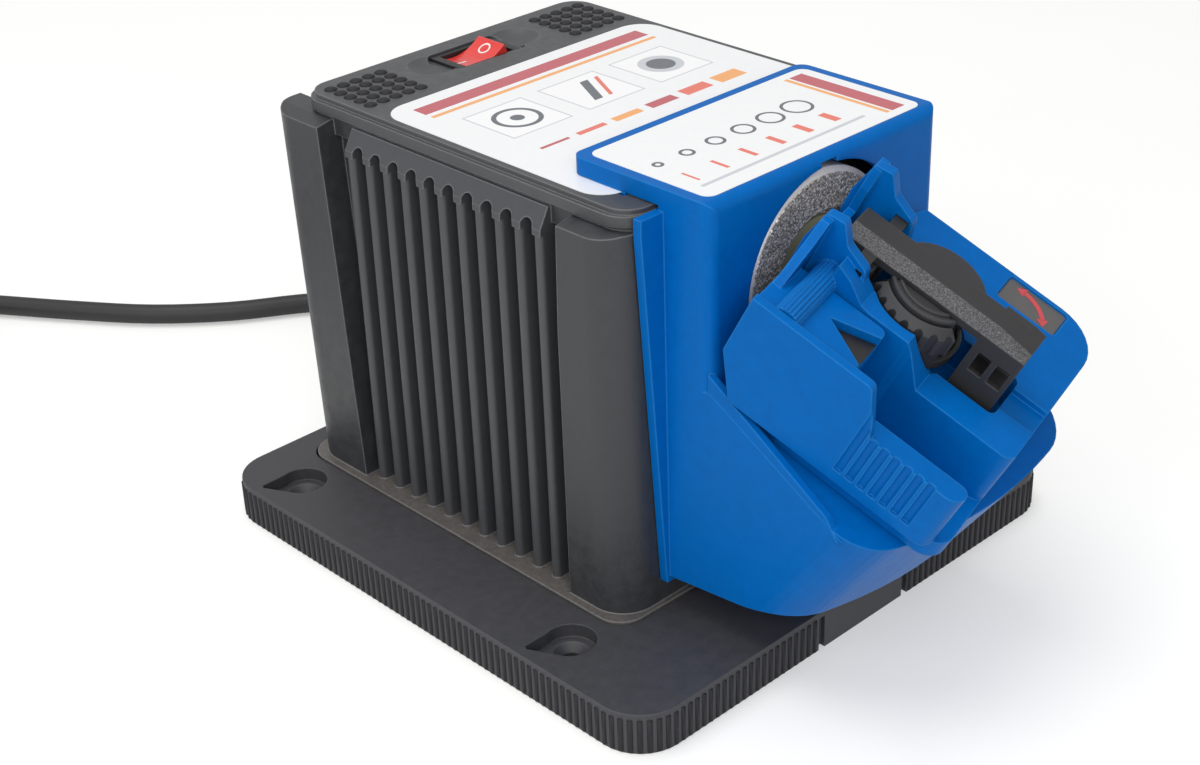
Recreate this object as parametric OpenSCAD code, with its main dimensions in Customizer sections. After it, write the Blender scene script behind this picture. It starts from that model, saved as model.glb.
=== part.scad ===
// Electric multipurpose sharpener: a ribbed motor housing on a bench base, with a
// slide-on drill sharpening head that carries a swinging block and a cam ring clamp.
// Sizes in mm. The origin is the middle of the base on its underside, +Z is up and
// the head points to -Y.

/* [Node] */
// Node to draw, or all of them

/* [Base] */
// Width of the base plate
base_w = 170; // [150:1:200]
// Depth of the base plate
base_d = 175; // [165:1:200]
// Thickness of the base plate
base_h = 12; // [11:0.5:16]
// Corner radius of the base plate
base_r = 13; // [8:1:20]
// Distance between the screw holes across the base
hole_span_x = 143; // [139:0.5:146]
// Distance between the screw holes along the base
hole_span_y = 115; // [100:1:125]
// Middle of the screw pattern
hole_mid_y = 9; // [4:0.5:14]
// Bore of the screw holes
hole_d = 5.2; // [4:0.1:5.5]
// Radius of the finger scoop round a screw hole
scoop_r = 7; // [6:0.1:8]
// Depth of the finger scoops
scoop_deep = 4; // [2:0.1:5]
// Diameter of the rubber feet
foot_d = 14; // [12:0.5:14.5]
// Side place of the rubber feet
foot_x = 72; // [68:0.5:73]
// Front and rear place of the rubber feet
foot_y = 78; // [77:0.5:79]
// How far the rubber feet stand into their pockets
foot_in = 3; // [2:0.1:4]

/* [Housing] */
// Height of the housing top
top_z = 127; // [124:0.5:132]
// Half width of the housing wall behind the ribs
wall_half = 49.5; // [48:0.25:50.5]
// Half width of the top rim
rim_half = 52.5; // [51:0.25:54]
// Half width across the four corner pillars
pillar_half = 57.5; // [56:0.25:58.5]
// Front face of the housing
body_front = -54; // [-56:0.25:-53.5]
// Rear face of the housing
body_rear = 77; // [75:0.25:78.5]
// Wall thickness of the housing
wall = 2.5; // [2:0.1:3]
// Drop from the housing top to the tops of the ribs and corner pillars
pillar_drop = 5.5; // [5:0.25:9]
// How far the rear pillars lean back at their tops
pillar_lean = 5; // [0:0.5:6]
// Number of cooling ribs on a side
rib_count = 11; // [7:1:12]
// Pitch of the cooling ribs
rib_pitch = 7.5; // [6.5:0.1:7.6]
// Thickness of a cooling rib
rib_t = 3; // [2:0.1:4]
// Place of the rearmost cooling rib
rib_last = 50; // [49:0.25:51]
// Half width of the plinth flange
plinth_half = 60; // [58.5:0.25:62]
// Depth of the plinth seat in the base
plinth_deep = 3; // [2:0.1:4]
// Side clearance of the plinth in its seat
plinth_gap = 0.4; // [0.2:0.1:0.8]

/* [Motor] */
// Drop from the housing top to the motor shaft
axis_drop = 27.5; // [26.5:0.25:30]
// Outer radius of the motor can
can_r = 23; // [22:0.25:24]
// Wall of the motor can
can_wall = 1.6; // [1.2:0.1:1.8]
// Front face of the motor can
can_front = -20.5; // [-22:0.25:-20]
// Rear end of the motor can
can_rear = 40; // [38:0.25:41]
// Diameter of the motor shaft
shaft_d = 6; // [5.5:0.1:6.5]
// Running clearance of the shaft in its bearings, on the radius
shaft_fit = 0.05; // [0.02:0.01:0.08]
// Radius of the armature core
core_r = 16.2; // [15:0.1:16.4]
// Thickness of the magnets
magnet_t = 4; // [3:0.1:4.4]
// Radius of the commutator
comm_r = 8; // [7:0.1:8.4]
// Gap between the brushes and the commutator
brush_gap = 0.35; // [0.3:0.05:0.6]

/* [Wheel] */
// Radius of the grinding wheel
wheel_r = 27; // [25:0.25:28]
// Inner radius of the grinding face
wheel_face_r = 16.4; // [15:0.1:18]
// Front face of the grinding wheel
wheel_face = -70; // [-70.8:0.1:-69]
// Thickness of the grinding wheel
wheel_t = 10; // [8:0.25:11]
// Bevel on the rim of the wheel
wheel_bevel = 1.6; // [0.8:0.1:2.5]

/* [Switch] */
// Place of the switch on the housing top
switch_y = 60; // [58:0.25:61]
// Half length of the rocker at its pivot
rocker_half = 8.4; // [7.6:0.1:8.5]
// Width of the rocker
rocker_w = 11; // [10:0.1:11.4]
// Tilt of the rocker to each side
rocker_tilt = 13; // [8:0.5:14]
// Depth of the finger trough round the switch
trough_deep = 1.6; // [1:0.1:2]

/* [Head] */
// Half width of the head
head_half = 43; // [41.5:0.25:43.5]
// Rise of the head top over the housing top
head_rise = 5; // [3:0.25:8]
// Front face of the hood
hood_front = -72; // [-73:0.25:-71.8]
// Rear end of the top plate on the housing
hood_rear = -25; // [-28:0.5:-20]
// Wall thickness of the head
head_wall = 2.5; // [2:0.1:3]
// Gap between the head and the housing
head_gap = 0.3; // [0.2:0.05:0.6]
// Front end of the tray lip
lip_y = -126; // [-130:0.5:-124]
// Backward lean of the chin front, degrees
chin_lean = 36.9; // [32:0.1:40]
// Radius of the wheel opening
mouth_r = 29.5; // [28.5:0.1:31]
// Height of the ridges beside the tray at the hood
ridge_h = 4.2; // [2:0.1:4.4]

/* [Swing block] */
// Drop from the motor shaft to the swing pivot
pivot_drop = 25.8; // [25.4:0.1:26.4]
// Tilt of the tray and the block
tilt = 29.5; // [29:0.05:30]
// Turn of the block as it stands
yaw = 14.4; // [13:0.1:16]
// Swing to the wheel side, degrees
swing_left = 9; // [6:0.25:9]
// Swing to the other side, degrees
swing_right = 5.5; // [4:0.25:5.6]
// Distance between the tray and the block underside
tray_gap = 0.4; // [0.3:0.05:0.8]
// Height of the deck over the underside
deck = 23; // [22.5:0.1:23.4]
// Half width of the block
block_half = 40; // [39:0.1:40.4]
// Front edge of the deck
deck_front = -39.6; // [-41:0.1:-38]
// Top of the left cheek
cheek_top = 36.5; // [35.5:0.1:38]
// Top of the two ears that hold the clamp bar
ear_top = 48; // [45:0.1:49]
// Width of the grip wall
grip_w = 6.5; // [5.5:0.1:7.5]
// Right edge of the chip channel
channel_x = -17.3; // [-18:0.1:-16.6]
// Diameter of the swing pin
pin_d = 6; // [5.5:0.1:6.4]
// Running clearance of the block on the swing pin, on the radius
pin_fit = 0.06; // [0.02:0.01:0.09]

/* [Clamp] */
// Radius of the cam ring
ring_r = 14.2; // [14:0.05:14.6]
// Radius of the hub that the cam ring turns on
hub_r = 7.6; // [7.4:0.05:7.9]
// Running clearance of the cam ring on its hub, on the radius
hub_fit = 0.06; // [0.02:0.01:0.09]
// Free gap round the rim of the cam ring
ring_gap = 0.7; // [0.5:0.05:1]
// Top of the cam ring at its inner edge
ring_top = 36.8; // [36:0.1:36.9]
// Outer edge of the rim top
rim_top = 35.2; // [34.5:0.1:35.6]
// Radius of the disc inside the cam ring
disc_r = 11.2; // [11:0.05:11.4]
// Underside of the knurled rim of the cam ring
rim_low = 28.6; // [27:0.1:29.5]
// Turn of the cam ring to each side, degrees
ring_turn = 12; // [9:0.5:12]
// Half width of the clamp bar
bar_half = 5.7; // [5.6:0.1:5.9]
// Underside of the clamp bar
bar_low = 37.3; // [37.2:0.05:37.6]
// Top of the clamp bar
bar_top = 41; // [40.6:0.1:41.6]
// Half width of the passage for a drill through the leg of the bar
drill_half = 4.2; // [4:0.05:4.4]
// Half gap between the jaws as drawn
jaw_open = 3.25; // [3:0.05:3.5]
// Travel of a jaw to each side
jaw_travel = 1.75; // [1:0.05:1.8]
// Thickness of a jaw
jaw_t = 5; // [4.6:0.05:5.2]
// Diameter of the cam pins on the jaws
cam_pin_d = 2.6; // [2.2:0.1:2.8]
// Clearance of the cam pins in their slots, on the radius
cam_gap = 0.35; // [0.3:0.05:0.4]

/* [Cord] */
// Diameter of the mains cord
cord_d = 7; // [6.4:0.1:7.2]
// Side place of the cord outlet
cord_x = 36; // [34:0.5:38]
// Height of the cord outlet
cord_z = 24; // [23:0.5:26]

/* [Hidden] */
$fn = 48;
seat_z = base_h - plinth_deep;
plinth_top = base_h + 0.6;
plinth_front = body_front - 1.5;
plinth_rear = body_rear + 3;
cavity_half = wall_half - wall;
cavity_front = body_front + wall;
cavity_rear = body_rear - wall;
roof_z = top_z - wall;
axis_z = top_z - axis_drop;
head_top = top_z + head_rise;
pillar_z = top_z - pillar_drop;
rib_half = pillar_half - 2;
base_screw_x = (wall_half + pillar_half) / 2;
base_screw_y = [body_front + 14, body_rear - 11];
board_post_x = [-34, -10];
board_post_y = [26, 58];
lug_x = head_half - 1;
lug_front = body_front + 10;
lug_rear = body_front + 21;
rocker_z = top_z - 6;
pivot = [0, -87, axis_z - pivot_drop];
tray_w = -tray_gap;
chin_front = (lip_y - pivot[1]) * cos(chin_lean) - 22.1 * sin(chin_lean);
drill_w = 30.3;
web_low = 22.4;
web_top = 23.7;
hub_top = 23.9;
retainer_top = 24.9;
cam_rate = jaw_travel / ring_turn;
cam_y = 9.2;
bar_rear = 24.6;
bar_front = -28;
leg_rear = -15.6;
wall_x = -18.1;
block_x = -18.9;
block_front = 1.7;
block_top = 34;

// Rounded rectangle of exact arcs about the origin
module rrect(w, d, r) {
    square([w - 2 * r, d], center = true);
    square([w, d - 2 * r], center = true);
    for (x = [-1, 1], y = [-1, 1])
        translate([x * (w / 2 - r), y * (d / 2 - r)])
            circle(r);
}

// Box between two corners
module box(a, b) {
    translate(a)
        cube(b - a);
}

// Rod along Y from y0 to y1 about a point of X and Z
module rod_y(x, z, r, y0, y1) {
    translate([x, y1, z])
        rotate([90, 0, 0])
            cylinder(r = r, h = y1 - y0);
}

// Tube along Y
module tube_y(x, z, r, bore, y0, y1) {
    difference() {
        rod_y(x, z, r, y0, y1);
        rod_y(x, z, bore, y0 - 1, y1 + 1);
    }
}

// Side profile of Y and Z drawn across X
module across(w) {
    rotate([90, 0, 90])
        linear_extrude(w, center = true)
            children();
}

function unit2(a) = a / norm(a);
// Points of one rounded corner
function corner(p, c, n, r, steps) =
    r <= 0 ? [c] :
    let (
        a = unit2(p - c),
        b = unit2(n - c),
        half = acos(a * b) / 2,
        m = c + unit2(a + b) * r / sin(half),
        s = c + a * r / tan(half),
        e = c + b * r / tan(half),
        a0 = atan2(s[1] - m[1], s[0] - m[0]),
        a1 = atan2(e[1] - m[1], e[0] - m[0]),
        raw = a1 - a0,
        sweep = raw > 180 ? raw - 360 : raw < -180 ? raw + 360 : raw
    )
    [for (i = [0 : steps]) m + r * [cos(a0 + sweep * i / steps), sin(a0 + sweep * i / steps)]];
// Outline with a radius at every corner
function rounded(pts, radii, steps = 6) =
    let (k = len(pts))
    [for (i = [0 : k - 1])
        for (q = corner(pts[(i + k - 1) % k], pts[i], pts[(i + 1) % k], radii[i], steps)) q];

// Frame of the swing block: x across, -y outward, z square to the tray
module on_block() {
    translate(pivot)
        rotate([tilt, 0, 0])
            rotate([0, 0, yaw])
                children();
}

// Frame of the tray, not turned
module on_tray() {
    translate(pivot)
        rotate([tilt, 0, 0])
            children();
}

function tray_z(y, lift = 0) = pivot[2] + (y - pivot[1]) * tan(tilt) + (tray_w + lift) / cos(tilt);

module base_plate() {
    color("#1b1c1e")
        difference() {
            union() {
                linear_extrude(base_h)
                    rrect(base_w, base_d, base_r);
                for (x = board_post_x, y = board_post_y)
                    translate([x, y, seat_z - 1])
                        cylinder(d = 6, h = 8);
            }
            translate([0, (plinth_front + plinth_rear) / 2, seat_z])
                difference() {
                    linear_extrude(base_h)
                        rrect(2 * (plinth_half + plinth_gap), plinth_rear - plinth_front + 2 * plinth_gap, 8);
                    for (x = board_post_x, y = board_post_y)
                        translate([x, y - (plinth_front + plinth_rear) / 2, -1])
                            cylinder(d = 6, h = 8);
                }
            for (x = [-1, 1], y = [-1, 1])
                translate([x * hole_span_x / 2, hole_mid_y + y * hole_span_y / 2, 0]) {
                    translate([0, 0, -1])
                        cylinder(d = hole_d, h = base_h + 2);
                    translate([0, 0, base_h - scoop_deep])
                        linear_extrude(scoop_deep + 1) {
                            circle(scoop_r);
                            polygon([[x * 2, scoop_r - 0.3], [x * 10, 6.6], [x * 10.6, 5.4], [x * 6.5, -2.6]]);
                        }
                    translate([0, 0, base_h - scoop_deep - 2])
                        cylinder(d1 = hole_d, d2 = 9.6, h = 2.01);
                }
            for (x = [-17.3, 17.3])
                translate([x - 1.2, -base_d / 2 - 1, -1])
                    cube([2.4, 2.6, base_h - 0.8]);
            for (x = [-1, 1], y = [-1, 1])
                translate([x * foot_x, y * foot_y, -1])
                    cylinder(d = foot_d, h = foot_in + 1);
            for (x = [-1, 1], y = base_screw_y)
                translate([x * base_screw_x, y, -1]) {
                    cylinder(d = 4.6, h = base_h + 2);
                    cylinder(d = 9, h = 4);
                }
        }
}

module rubber_feet() {
    color("#2a2a2a")
        for (x = [-1, 1], y = [-1, 1])
            translate([x * foot_x, y * foot_y, 0])
                cylinder(d = foot_d - 0.2, h = foot_in);
}

module base_screws() {
    color("#8d9094")
        for (x = [-1, 1], y = base_screw_y)
            translate([x * base_screw_x, y, 0.6]) {
                cylinder(d = 8, h = 2.2);
                cylinder(d = 4, h = 18);
            }
}

// Side wall of the upper housing from the plan of the walls
module housing_plan(half, front, rear, r) {
    translate([0, (front + rear) / 2])
        rrect(2 * half, rear - front, r);
}

// Pair of corner pillars with a sloped top; the rear pair leans back
module pillars(front) {
    lean = front ? 0 : atan(pillar_lean / (pillar_z - base_h));
    y0 = front ? body_front + 30 : body_rear + 2 - 30;
    intersection() {
        translate([0, y0, base_h])
            rotate([-lean, 0, 0])
                translate([0, 0, -20])
                    linear_extrude(200)
                        rrect(2 * pillar_half, 60, 10);
        across(2 * pillar_half + 20)
            polygon(front
                ? [[body_front - 1, seat_z], [body_front + 23.2, seat_z],
                    [body_front + 19.5, pillar_z], [body_front - 1, pillar_z]]
                : [[body_rear + 20, seat_z], [body_rear - 23, seat_z],
                    [body_rear - 16, pillar_z], [body_rear + 20, pillar_z]]);
        rotate([90, 0, 0])
            linear_extrude(400, center = true)
                polygon([[-pillar_half - 1, 0], [-pillar_half - 1, pillar_z - 1.2], [-rim_half, pillar_z],
                    [rim_half, pillar_z], [pillar_half + 1, pillar_z - 1.2], [pillar_half + 1, 0]]);
    }
}

// Cooling rib of both sides, drawn as one bar across the body
module rib(y) {
    translate([0, y, 0])
        intersection() {
            rotate([90, 0, 0])
                linear_extrude(rib_t, center = true)
                    polygon([[-rib_half, seat_z], [-rib_half, pillar_z - 5.5], [-rim_half, pillar_z],
                        [rim_half, pillar_z], [rib_half, pillar_z - 5.5], [rib_half, seat_z]]);
            linear_extrude(200) {
                square([2 * rib_half - rib_t, rib_t], center = true);
                for (x = [-1, 1])
                    translate([x * (rib_half - rib_t / 2), 0])
                        circle(d = rib_t, $fn = 24);
            }
        }
}

// Sloped band over the ribs, with an arched end on each channel
module rib_band(y0, y1) {
    difference() {
        translate([0, y1 + rib_t / 2, 0])
            rotate([90, 0, 0])
                linear_extrude(y1 - y0 + rib_t)
                    polygon([[-rib_half, pillar_z - 7.4], [-rib_half, pillar_z - 5.5], [-rim_half, pillar_z],
                        [rim_half, pillar_z], [rib_half, pillar_z - 5.5], [rib_half, pillar_z - 7.4]]);
        for (i = [0 : rib_count - 2])
            translate([0, y0 + (i + 0.5) * rib_pitch, 0]) {
                box([-60, -(rib_pitch - rib_t) / 2, pillar_z - 21.5],
                    [60, (rib_pitch - rib_t) / 2, pillar_z - 6]);
                translate([-60, 0, pillar_z - 6])
                    rotate([0, 90, 0])
                        cylinder(d = rib_pitch - rib_t, h = 120, $fn = 24);
            }
        box([-wall_half + 1, -60, pillar_z - 31], [wall_half - 1, 90, pillar_z + 9]);
    }
}

module housing() {
    rib_first = rib_last - (rib_count - 1) * rib_pitch;
    color("#1c1d20")
        difference() {
            union() {
                translate([0, 0, seat_z])
                    linear_extrude(top_z - seat_z - 9)
                        housing_plan(wall_half, body_front, body_rear - 1, 6);
                translate([0, 0, top_z - 10])
                    linear_extrude(7.5)
                        housing_plan(rim_half - 1, body_front, body_rear - 3, 8);
                translate([0, 0, top_z - 4.5])
                    linear_extrude(3)
                        housing_plan(rim_half, body_front, body_rear - 2.5, 8);
                translate([0, 0, top_z - 2])
                    linear_extrude(2)
                        housing_plan(rim_half - 1.2, body_front + 0.6, body_rear - 3.5, 7);
                translate([0, (plinth_front + plinth_rear) / 2, seat_z])
                    linear_extrude(plinth_top - seat_z)
                        rrect(2 * plinth_half, plinth_rear - plinth_front, 8);
                pillars(true);
                difference() {
                    pillars(false);
                    box([-45.5, body_rear - 2, 0], [45.5, body_rear + 20, 200]);
                }
                for (i = [0 : rib_count - 1])
                    rib(rib_first + i * rib_pitch);
                rib_band(rib_first, rib_last);
            }
            translate([0, 0, seat_z - 1])
                linear_extrude(roof_z - seat_z + 1)
                    housing_plan(cavity_half, cavity_front, cavity_rear - 1, 4);
            for (x = [-1, 1])
                box([x < 0 ? -pillar_half - 1 : wall_half - 0.01, body_front + 20.5, plinth_top],
                    [x < 0 ? -wall_half + 0.01 : pillar_half + 1, rib_first - rib_t / 2 - 0.6, pillar_z - 9.5]);
            rod_y(0, axis_z, 22, body_front - 1, cavity_front + 1);
            for (x = [-1, 1])
                box([x * (lug_x + 0.6) - 1.6, lug_front - 1, top_z - 4],
                    [x * (lug_x + 0.6) + 1.6, lug_rear + 1.2, top_z + 1]);
            box([-9.9, switch_y - 6.8, roof_z - 1], [9.9, switch_y + 6.8, top_z + 1]);
            translate([0, switch_y, top_z - trough_deep])
                linear_extrude(trough_deep + 1)
                    rrect(27, 15.6, 3);
            for (x = [-1, 1])
                translate([x * 15.5, switch_y + 1, top_z + 13])
                    sphere(r = 15, $fn = 64);
            rod_y(cord_x, cord_z, 6, cavity_rear - 3, plinth_rear + 1);
            for (x = [-1, 1], y = base_screw_y)
                translate([x * base_screw_x, y, seat_z - 1])
                    cylinder(d = 4, h = 11);
        }
}

module switch_body() {
    color("#141414")
        translate([0, switch_y, 0])
            difference() {
                union() {
                    box([-9.7, -6.6, rocker_z - 15], [9.7, 6.6, top_z - trough_deep]);
                    box([-11.4, -7.6, top_z - trough_deep], [11.4, 7.6, top_z - trough_deep + 1]);
                }
                box([-9.1, -rocker_w / 2 - 0.35, rocker_z - 8], [9.1, rocker_w / 2 + 0.35, top_z + 1]);
                rod_y(0, rocker_z, 1.5, -7, 7);
            }
}

module switch_terminals() {
    color("#b9a060")
        for (x = [-6, 0, 6])
            box([x - 0.4, switch_y - 2.4, rocker_z - 24], [x + 0.4, switch_y + 2.4, rocker_z - 15]);
}

module switch_rocker() {
    color("#c81e1c")
        translate([0, switch_y, rocker_z])
            rotate([0, -rocker_tilt, 0]) {
                rotate([90, 0, 0])
                    linear_extrude(rocker_w, center = true)
                        polygon(concat(
                            [[-6.2, -4.4], [6.2, -4.4], [rocker_half, 0], [rocker_half - 1, 6.4]],
                            [for (i = [1 : 7]) let (t = i / 4 - 1) [-t * (rocker_half - 1), 4.6 + 1.8 * t * t]],
                            [[-rocker_half + 1, 6.4], [-rocker_half, 0]]));
                rod_y(0, 0, 1.45, -6.5, 6.5);
            }
}

module motor_can() {
    color("#8f949b")
        difference() {
            rod_y(0, axis_z, can_r, can_front, can_rear);
            rod_y(0, axis_z, can_r - can_wall, can_front + 2, can_rear + 1);
            rod_y(0, axis_z, 8, can_front - 1, can_front + 3);
            for (x = [-1, 1])
                rod_y(x * 14, axis_z, 1.7, can_front - 1, can_front + 3);
            for (a = [45, 135, 225, 315])
                translate([0, 0, axis_z])
                    rotate([0, a, 0])
                        box([12, can_rear - 14, -3], [30, can_rear - 6, 3]);
        }
}

module motor_magnets() {
    r1 = can_r - can_wall;
    color("#3a3b40")
        difference() {
            tube_y(0, axis_z, r1, r1 - magnet_t, -8, 20);
            box([-30, -9, axis_z - 9], [30, 21, axis_z + 9]);
        }
}

module motor_end_bell() {
    color("#26282c")
        difference() {
            union() {
                rod_y(0, axis_z, can_r, can_rear, can_rear + 8);
                rod_y(0, axis_z, can_r - can_wall - 0.1, can_rear - 4, can_rear);
                rod_y(0, axis_z, 10.5, can_rear + 7, can_rear + 13);
            }
            rod_y(0, axis_z, 16, can_rear - 5, can_rear + 5);
            rod_y(0, axis_z, 8, can_rear, can_rear + 14);
        }
}

module motor_brushes() {
    color("#4a4038")
        for (x = [-1, 1]) {
            box([x < 0 ? -15.5 : comm_r + brush_gap, can_rear - 12.5, axis_z - 2.5],
                [x < 0 ? -comm_r - brush_gap : 15.5, can_rear - 6.5, axis_z + 2.5]);
            box([x < 0 ? -can_r + can_wall : 15.5, can_rear - 13, axis_z - 3.5],
                [x < 0 ? -15.5 : can_r - can_wall, can_rear - 6, axis_z + 3.5]);
        }
}

module front_bearing() {
    color("#c9ccd0")
        tube_y(0, axis_z, 8, shaft_d / 2 + shaft_fit, can_front - 4, can_front + 2);
}

module rear_bearing() {
    color("#c9ccd0")
        tube_y(0, axis_z, 8, shaft_d / 2 + shaft_fit, can_rear + 5, can_rear + 12);
}

module motor_bracket() {
    color("#2b2d31")
        difference() {
            box([-cavity_half + 0.2, can_front - 4, seat_z], [cavity_half - 0.2, can_front, roof_z - 0.4]);
            rod_y(0, axis_z, 8, can_front - 5, can_front + 1);
            for (x = [-1, 1])
                rod_y(x * 14, axis_z, 2.1, can_front - 5, can_front + 1);
            for (x = [-1, 1])
                box([x * 24 - 14, can_front - 5, 20], [x * 24 + 14, can_front + 1, axis_z - can_r - 8.5]);
            for (x = [-1, 1], z = [seat_z, roof_z])
                translate([x * cavity_half, can_front - 2, z])
                    rotate([0, 45, 0])
                        cube([9, 12, 9], center = true);
        }
}

module motor_cradle() {
    color("#2b2d31")
        difference() {
            union() {
                box([-24, 6, seat_z], [24, 20, seat_z + 4]);
                box([-20, 8, seat_z], [20, 18, axis_z - 13]);
            }
            rod_y(0, axis_z, can_r, 5, 21);
            box([-12, 5, 24], [12, 21, axis_z - can_r - 12.5]);
        }
}

module motor_screws() {
    color("#b4b7ba")
        for (x = [-1, 1]) {
            rod_y(x * 14, axis_z, 3.4, can_front - 6.6, can_front - 4);
            rod_y(x * 14, axis_z, 1.6, can_front - 4.2, can_front + 2.4);
        }
}

module rectifier_board() {
    color("#2f6b3a")
        difference() {
            box([-39, board_post_y[0] - 4.5, seat_z + 7], [-5, board_post_y[1] + 5, seat_z + 8.6]);
            for (x = board_post_x, y = board_post_y)
                translate([x, y, 0])
                    cylinder(d = 3.2, h = 40);
        }
}

module board_parts() {
    z = seat_z + 8.6;
    color("#202124") {
        box([-30, 44, z], [-15, 52, z + 12]);
        translate([-22, 35, z])
            cylinder(d = 12, h = 20);
        box([-37, 30, z], [-31, 41, z + 9]);
    }
}

module cord_gland() {
    inside = cavity_rear - 1;
    outside = body_rear - 1;
    color("#1a1a1a")
        difference() {
            union() {
                rod_y(cord_x, cord_z, 5.9, inside - 1, outside + 1);
                rod_y(cord_x, cord_z, 8, inside - 3.2, inside - 0.1);
                rod_y(cord_x, cord_z, 8, outside + 0.1, outside + 3);
                translate([cord_x, outside + 3, cord_z])
                    rotate([-90, 0, 0])
                        cylinder(r1 = 6.6, r2 = cord_d / 2 + 1.1, h = 26);
            }
            rod_y(cord_x, cord_z, cord_d / 2 + 0.25, inside - 6, outside + 31);
            for (i = [0 : 3])
                translate([cord_x, outside + 7.5 + 5.4 * i, cord_z])
                    for (s = [0, 180])
                        rotate([0, s, 0])
                            box([3.9, -1, -9], [9, 1, 9]);
        }
}

module cord_clamp() {
    color("#2b2d31")
        difference() {
            union() {
                box([cord_x - 9.5, 52, seat_z], [cord_x + 9.5, 62, cord_z]);
                box([cord_x - 9.5, 52, cord_z], [cord_x + 9.5, 62, cord_z + 6]);
            }
            rod_y(cord_x, cord_z, cord_d / 2 + 0.15, 51, 63);
            for (x = [-6.6, 6.6])
                translate([cord_x + x, 57, cord_z + 3])
                    cylinder(d = 4.4, h = 4);
        }
}

// Column of the chin, leaning with its front: straight sides, a bowed front, round corners, grown inward by c
module chin_column(c) {
    half = head_half - c;
    front = chin_front + c;
    translate(pivot)
        rotate([chin_lean, 0, 0])
            translate([0, 0, -150])
                linear_extrude(300)
                    polygon(rounded([[-half, 120], [half, 120], [half, front + 7.4], [0, front - 1.2],
                        [-half, front + 7.4]], [0, 0, 15 - c, half * half / 13.2, 15 - c], 8));
}

// Hood box with a rounded front top edge, grown inward by c
module hood_box(c, low) {
    rear = body_front - head_gap - 1 + (c > 0 ? 3 : 0);
    intersection() {
        translate([0, hood_front + c + 20, low])
            linear_extrude(head_top - c - low)
                rrect(2 * (head_half - c), 40, 3.5);
        across(2 * head_half + 20)
            polygon(rounded([[hood_front + c, low - 1], [hood_front + c, head_top - c], [rear, head_top - c],
                [rear, low - 1]], [0, 3.2, 0, 0], 6));
    }
}

module head_cover() {
    back = body_front - head_gap;
    color("#0a62b4")
        difference() {
            union() {
                hood_box(0, tray_z(hood_front) - 12);
                intersection() {
                    across(2 * head_half + 20)
                        polygon(rounded([[back - 1, 21.5], [back - 1, top_z - 0.5],
                            [hood_front + 8, top_z - 0.5], [hood_front + 8, tray_z(hood_front) - 1],
                            [hood_front + 0.5, tray_z(hood_front + 0.5)],
                            [lip_y - 20, tray_z(lip_y - 20)], [lip_y + 14, 25.2], [lip_y + 37.5, 25]],
                            [0, 0, 0, 0, 0, 0, 0, 30], 6));
                    chin_column(0);
                }
                translate([0, (hood_rear + hood_front) / 2 + 2, top_z + head_gap])
                    linear_extrude(head_top - top_z - head_gap)
                        rrect(2 * head_half, hood_rear - hood_front - 4, 3.5);
                rotate([90, 0, 0])
                    translate([0, 0, -back])
                        linear_extrude(2.6)
                            polygon([[-44, 20], [44, 20], [50.5, top_z - 6], [50.5, top_z - 1],
                                [-50.5, top_z - 1], [-50.5, top_z - 6]]);
                for (x = [-1, 1])
                    translate([x * (head_half - 1.1), 0, 0])
                        across(2)
                            polygon([[hood_front + 1, tray_z(hood_front + 1) - 2],
                                [hood_front + 1, tray_z(hood_front + 1, ridge_h)],
                                [lip_y + 17, tray_z(lip_y + 17, 1.6)],
                                [lip_y + 13, tray_z(lip_y + 13) - 2]]);
            }
            difference() {
                union() {
                    hood_box(head_wall, tray_z(hood_front) - 22);
                    intersection() {
                        across(2 * (head_half - head_wall))
                            polygon([[back + 1, 25], [back + 1, tray_z(hood_front) - 12],
                                [hood_front + 4, tray_z(hood_front + 4) - 3],
                                [lip_y + 19, tray_z(lip_y + 19) - 3], [lip_y + 38, 30], [lip_y + 44, 28]]);
                        chin_column(head_wall - 0.4);
                    }
                }
                on_tray()
                    translate([0, 0, -14])
                        cylinder(r = 9, h = 14);
            }
            rod_y(0, axis_z, mouth_r, hood_front - 1, hood_front + head_wall + 1);
            box([-3, hood_front - 1, axis_z + mouth_r - 2],
                [3, hood_front + head_wall + 1, axis_z + mouth_r + 1]);
            box([-24, hood_front - 1, tray_z(hood_front) + 0.6], [24, hood_front + head_wall + 1, axis_z]);
            box([-35, back - 6, 32], [35, back + 1, top_z - 6]);
            on_tray()
                translate([0, 0, -15])
                    cylinder(d = pin_d, h = 22);
        }
}

module head_lugs() {
    color("#0a62b4")
        for (x = [-1, 1])
            box([x * lug_x - 1, lug_front, top_z - 3.4], [x * lug_x + 1, lug_rear, top_z + head_gap]);
}

module swing_pin() {
    color("#b9bcc0")
        on_tray() {
            translate([0, 0, -12.6])
                cylinder(d = pin_d, h = 12.6 + 12.4);
            translate([0, 0, 12.4])
                cylinder(d = pin_d + 3, h = 2.6);
        }
}

module motor_shaft() {
    color("#c5c8cc")
        rod_y(0, axis_z, shaft_d / 2, wheel_face - 0.6, can_rear + 11);
}

module armature_core() {
    color("#6f737a")
        difference() {
            rod_y(0, axis_z, core_r, -6, 18);
            rod_y(0, axis_z, shaft_d / 2, -7, 19);
            for (i = [0 : 11])
                translate([0, 0, axis_z])
                    rotate([0, i * 30, 0])
                        box([core_r - 5, -7, -1.3], [core_r + 1, 19, 1.3]);
        }
}

module armature_windings() {
    color("#b0602a")
        for (y = [-10, 20.2])
            translate([0, y, axis_z])
                rotate([90, 0, 0])
                    rotate_extrude()
                        translate([10.5, 0])
                            scale([1.9, 1])
                                circle(d = 4.2);
}

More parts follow.
